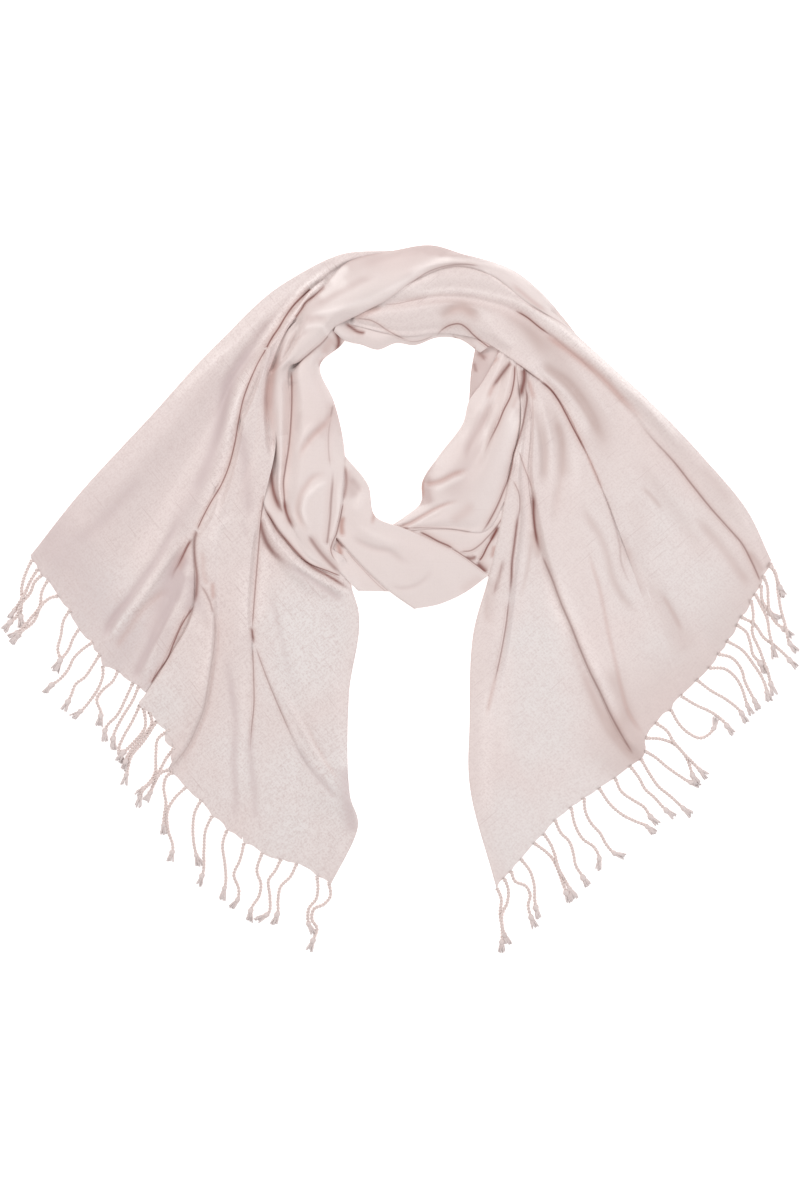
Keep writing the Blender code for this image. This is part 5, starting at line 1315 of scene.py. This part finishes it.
def tube(shape, centres, sides, ups, radii, round_faces, frayed, layer):
    """The round skin of one yarn, through centres; its rings lie across the yarn."""
    count = len(centres)
    made = bmesh.ops.create_grid(shape, x_segments=round_faces, y_segments=count - 1, size=1.0)
    turn = np.linspace(0, 2 * math.pi, round_faces + 1)
    ring = (centres[:, None, :]
            + sides[:, None, :] * (np.cos(turn)[None, :, None] * radii[:, None, None])
            + ups[:, None, :] * (np.sin(turn)[None, :, None] * radii[:, None, None]))
    ring[..., 2] = np.maximum(ring[..., 2], CORD_FLOOR)
    for vert in made["verts"]:
        i = round((vert.co.y + 1) / 2 * (count - 1))
        j = round((vert.co.x + 1) / 2 * round_faces)
        vert.co = ring[i, j]
        vert[layer] = float(frayed[i])
    bmesh.ops.remove_doubles(shape, verts=made["verts"], dist=MERGED)


def cord_way(route, heights):
    """A cord's middle line, resting on the cords already laid."""
    line = smooth_way(on_board(route), CORD_STEP)[:, :2]
    cell = ((line + TABLE_HALF) / CORD_CELL).astype(int)
    below = heights[cell[:, 0], cell[:, 1]]
    length = spacing(line[:, None, :])
    level = np.where(below > 0, below + CORD_REST, CORD_REST)
    for _ in range(CORD_LIFTS):
        level = np.maximum(level, np.convolve(np.pad(level, 1, "edge"), (0.5, 0, 0.5), "valid"))
    for _ in range(CORD_ROUNDS):
        level = np.convolve(np.pad(level, 1, "edge"), (0.25, 0.5, 0.25), "valid")
    covered = range(-CORD_COVERS, CORD_COVERS + 1)
    for dx in covered:
        for dy in covered:
            if abs(dx) + abs(dy) < 2 * CORD_COVERS:
                np.maximum.at(heights, (cell[:, 0] + dx, cell[:, 1] + dy), level + CORD_REST)
    return np.column_stack((line, level)), length


def cord(shape, layer, route, heights, root_height, chance):
    """Two plies twisted round each other, a knot, and a frayed tuft beyond it."""
    middle, length = cord_way(route, heights)
    fall = np.clip(1 - length / ROOT_FALL, 0, 1)
    middle[:, 2] += np.maximum(root_height - middle[0, 2], 0) * fall**2
    run = np.gradient(middle, axis=0)
    run /= np.linalg.norm(run, axis=1)[:, None]
    sides = np.stack((-run[:, 1], run[:, 0], 0 * run[:, 0]), 1)
    sides /= np.linalg.norm(sides, axis=1)[:, None]
    ups = np.cross(run, sides)
    knot = length[-1] - chance.uniform(*TUFT_LENGTH) * MM
    tight = length < knot
    turn = 2 * math.pi * length / TWIST_PITCH + chance.uniform(0, START_TURN)
    root = 1 + ROOT_SWELL * np.exp(-(length / ROOT_LENGTH)**2)
    for phase in (0.0, math.pi):
        angle = turn[tight] + phase
        centre = middle[tight] + PLY * PLY_APART * (
            np.cos(angle)[:, None] * sides[tight]
            + PLY_FLAT * np.sin(angle)[:, None] * ups[tight])
        tube(shape, centre, sides[tight], ups[tight], PLY * root[tight], PLY_FACES,
             0 * angle, layer)
    at = int(tight.sum()) - 1
    knot_shape(shape, layer, middle[at], run[at], sides[at], ups[at], chance)
    tail = np.arange(at, len(middle))
    share = np.linspace(0, 1, len(tail))
    for _ in range(TUFT):
        spread = chance.uniform(-1, 1, 2) * TUFT_SPREAD
        centre = middle[tail] + sides[tail] * (spread[0] * share**0.5)[:, None]
        centre += np.array((0, 0, 1.0)) * (spread[1] * share)[:, None]
        centre += run[tail] * (chance.uniform(*TUFT_ENDS) * MM * share)[:, None]
        centre[:, 2] = np.maximum(centre[:, 2], YARN_REST)
        tube(shape, centre, sides[tail], ups[tail], PLY * (YARN_THICK - YARN_TAPER * share),
             YARN_FACES, 0.25 + 0.75 * share, layer)


def knot_shape(shape, layer, spot, run, side, up, chance):
    """The overhand knot that stops the twist: a lumpy ball drawn along the cord."""
    made = bmesh.ops.create_icosphere(shape, subdivisions=2, radius=1.0)
    size = chance.uniform(*KNOT_SIZES)
    long, wide, high = KNOT
    axes = np.stack((run * long, side * wide, up * high), 0) * MM * size
    along_it, up_it = KNOT_LUMPS
    for vert in made["verts"]:
        unit = np.array(vert.co)
        lump = 1 + along_it * math.sin(5 * unit[0] + 4 * unit[1]) + up_it * math.sin(7 * unit[2])
        place = spot + (unit * lump) @ axes
        vert.co = (place[0], place[1], max(place[2], KNOT_FLOOR))
        vert[layer] = 0.5


# ---- the shawl -----------------------------------------------------------------------------
def drawn_out(grid, fringe):
    """Pull the hem out to a small point at the root of every cord."""
    hem = grid[-1, :, :2].copy()
    place = spacing(hem[:, None, :])
    depth = spacing(grid[::-1])[::-1]
    for route in CORDS[fringe]:
        root = on_board(route[0])
        nearest = np.linalg.norm(hem - root, axis=1).argmin()
        pull = root - hem[nearest]
        size = np.linalg.norm(pull)
        pull *= min(1.0, HEM_PULL / max(size, MERGED))
        share = np.exp(-((place - place[nearest]) / HEM_PULL_WIDTH)**2)
        share = np.exp(-(depth / HEM_PULL_DEPTH)**2)[:, None, None] * share[:, None]
        grid[..., :2] += share * pull
    return grid


def laid(seed, name, folds, table, trees):
    """The surface of a stretch where it comes to rest, its marks, and how far it is melted."""
    letter = next(key for key, value in GROUPS.items() if value == name)
    grid = loft(folds)
    fringe = name.replace("tail", "fringe")
    if fringe in CORDS:
        grid = drawn_out(grid, fringe)
    rise, marks = creased(letter, grid)
    grid[..., 2] += rise + rippled(grid, seed)
    grid[..., 2] = np.maximum(grid[..., 2], LEAST_HEIGHT)
    grid, melt = melted(name, table.settle(grid), trees)
    table.add(grid)
    return grid, marks, melt


def thin_out(piece, wall):
    """Give the wall almost no thickness where the stretch melts into the one under it."""
    levels = np.empty(len(piece.data.vertices), dtype=np.float32)
    piece.data.attributes["kept"].data.foreach_get("value", levels)
    kept = piece.vertex_groups.new(name="kept")
    for number, level in enumerate(levels):
        kept.add([number], float(level), "REPLACE")
    wall.vertex_group = "kept"
    wall.thickness_vertex_group = MELTED_WALL


def build_cloth():
    """Lay and dress the stretches one by one; their surfaces are kept for the fringes."""
    table = Table()
    trees = []
    finishes = {key: cloth_finish("woven_" + key, *look) for key, look in WEAVES.items()}
    pieces, grids = {}, {}
    for seed, (name, folds, sides, _, _) in enumerate(STRETCHES):
        grid, marks, melt = laid(seed, name, folds, table, trees)
        depth = rolled(grid, sides) * (1 - melt)
        shown = grid.copy()
        shown[..., 2] = np.maximum(shown[..., 2] - depth * ROLL * ROLL_DROP, CLOTH)
        # Painted warm shade on the outer half of each rolled edge.
        marks["warm"] = np.maximum(marks["warm"], ROLL_WARMTH * np.clip(depth - 0.5, 0, 1))
        data = grid_mesh(name, shown, {
            **marks, "thin": shown_through(shown, VEILS), "kept": 1 - melt})
        finish = finishes[WEAVE_OF.get(name, "middle")]
        piece = placed(name + "_cloth", data, finish, [name])
        wall = piece.modifiers.new("wall", "SOLIDIFY")
        wall.thickness = CLOTH
        wall.offset = -1.0
        if melt.max() > 0:
            thin_out(piece, wall)
        trees.append(BVHTree.FromPolygons([vert.co for vert in data.vertices],
                                          [tuple(face.vertices) for face in data.polygons]))
        pieces[name] = piece
        grids[name] = grid
    return grids


def build_fringes(grids):
    """Twist and lay the cords of every hem."""
    finish = cord_finish()
    cells = round(2 * TABLE_HALF / CORD_CELL)
    heights = np.zeros((cells, cells))
    chance = np.random.default_rng(CORD_SEED)
    for fringe, routes in CORDS.items():
        hem = grids[fringe.replace("fringe", "tail")][-1]
        shape = bmesh.new()
        layer = shape.verts.layers.float.new("frayed")
        for route in routes:
            root = on_board(route[0])
            nearest = np.linalg.norm(hem[:, :2] - root, axis=1).argmin()
            cord(shape, layer, route, heights, hem[nearest, 2] - HEM_DROP, chance)
        bmesh.ops.recalc_face_normals(shape, faces=shape.faces)
        data = bpy.data.meshes.new(fringe)
        shape.to_mesh(data)
        shape.free()
        data.shade_smooth()
        placed(fringe + "_cords", data, finish, [fringe])


# ---- table, light and camera ---------------------------------------------------------------
TABLE_SIZE = 9.0              # half the width of the table top
TABLE_COLOUR = (0.9, 0.9, 0.9, 1.0)
TABLE_ROUGHNESS = 0.9
TABLE_GLOW = 0.55             # strength of its own light, which keeps it white
LIGHTS = (                    # name, place, width, power in watts, colour
    ("window", (-1.9, 2.1, 2.9), 2.0, 66.0, (1.0, 0.985, 0.975)),
    ("fill", (2.4, -0.6, 2.8), 2.2, 42.0, (0.98, 0.985, 1.0)),
)
ROOM_COLOUR = (1.0, 0.965, 0.955, 1.0)
ROOM_LIGHT = 0.53
LENS, SENSOR = 85.0, 36.0     # in mm
FARTHEST = 20.0               # end of what the camera sees


def build_stage():
    """A white table top that gives a little light of its own."""
    shape = bmesh.new()
    bmesh.ops.create_grid(shape, x_segments=1, y_segments=1, size=TABLE_SIZE)
    data = bpy.data.meshes.new("table_top")
    shape.to_mesh(data)
    shape.free()
    finish = Finish("white_table")
    finish.shader.inputs["Base Color"].default_value = TABLE_COLOUR
    finish.shader.inputs["Roughness"].default_value = TABLE_ROUGHNESS
    finish.shader.inputs["Emission Color"].default_value = (1.0, 1.0, 1.0, 1.0)
    finish.shader.inputs["Emission Strength"].default_value = TABLE_GLOW
    data.materials.append(finish.material)
    item = bpy.data.objects.new("table_top", data)
    bpy.context.scene.collection.objects.link(item)


def area_light(name, place, size, power, colour):
    """A square light that looks at the shawl."""
    data = bpy.data.lights.new(name, "AREA")
    data.size = size
    data.energy = power
    data.color = colour
    item = bpy.data.objects.new(name, data)
    item.location = place
    item.rotation_euler = aimed(place)
    bpy.context.scene.collection.objects.link(item)


def aimed(place):
    """Turn that aims a light from a place at the shawl."""
    x, y, z = place
    return (math.atan2(math.hypot(x, y), z), 0.0, math.atan2(x, -y))


def build_lights():
    """Two soft lights and an even room round them."""
    for light in LIGHTS:
        area_light(*light)
    world = bpy.data.worlds.new("studio")
    world.use_nodes = True
    back = world.node_tree.nodes["Background"]
    back.inputs["Color"].default_value = ROOM_COLOUR
    back.inputs["Strength"].default_value = ROOM_LIGHT
    bpy.context.scene.world = world
    bpy.context.scene.view_settings.view_transform = "Standard"


def build_camera():
    """A camera straight above the board, at the height from which it fills the picture."""
    lens = bpy.data.cameras.new("camera")
    lens.lens = LENS
    lens.sensor_fit = "VERTICAL"
    lens.sensor_height = SENSOR
    lens.clip_end = FARTHEST
    view = bpy.data.objects.new("camera", lens)
    across, down = BOARD
    middle = on_board((across / 2, down / 2))
    height = down * SQUARE / 2 * LENS / (SENSOR / 2)
    view.location = (middle[0], middle[1], height)
    bpy.context.scene.collection.objects.link(view)
    bpy.context.scene.camera = view


surfaces = build_cloth()
build_fringes(surfaces)
build_stage()
build_lights()
build_camera()
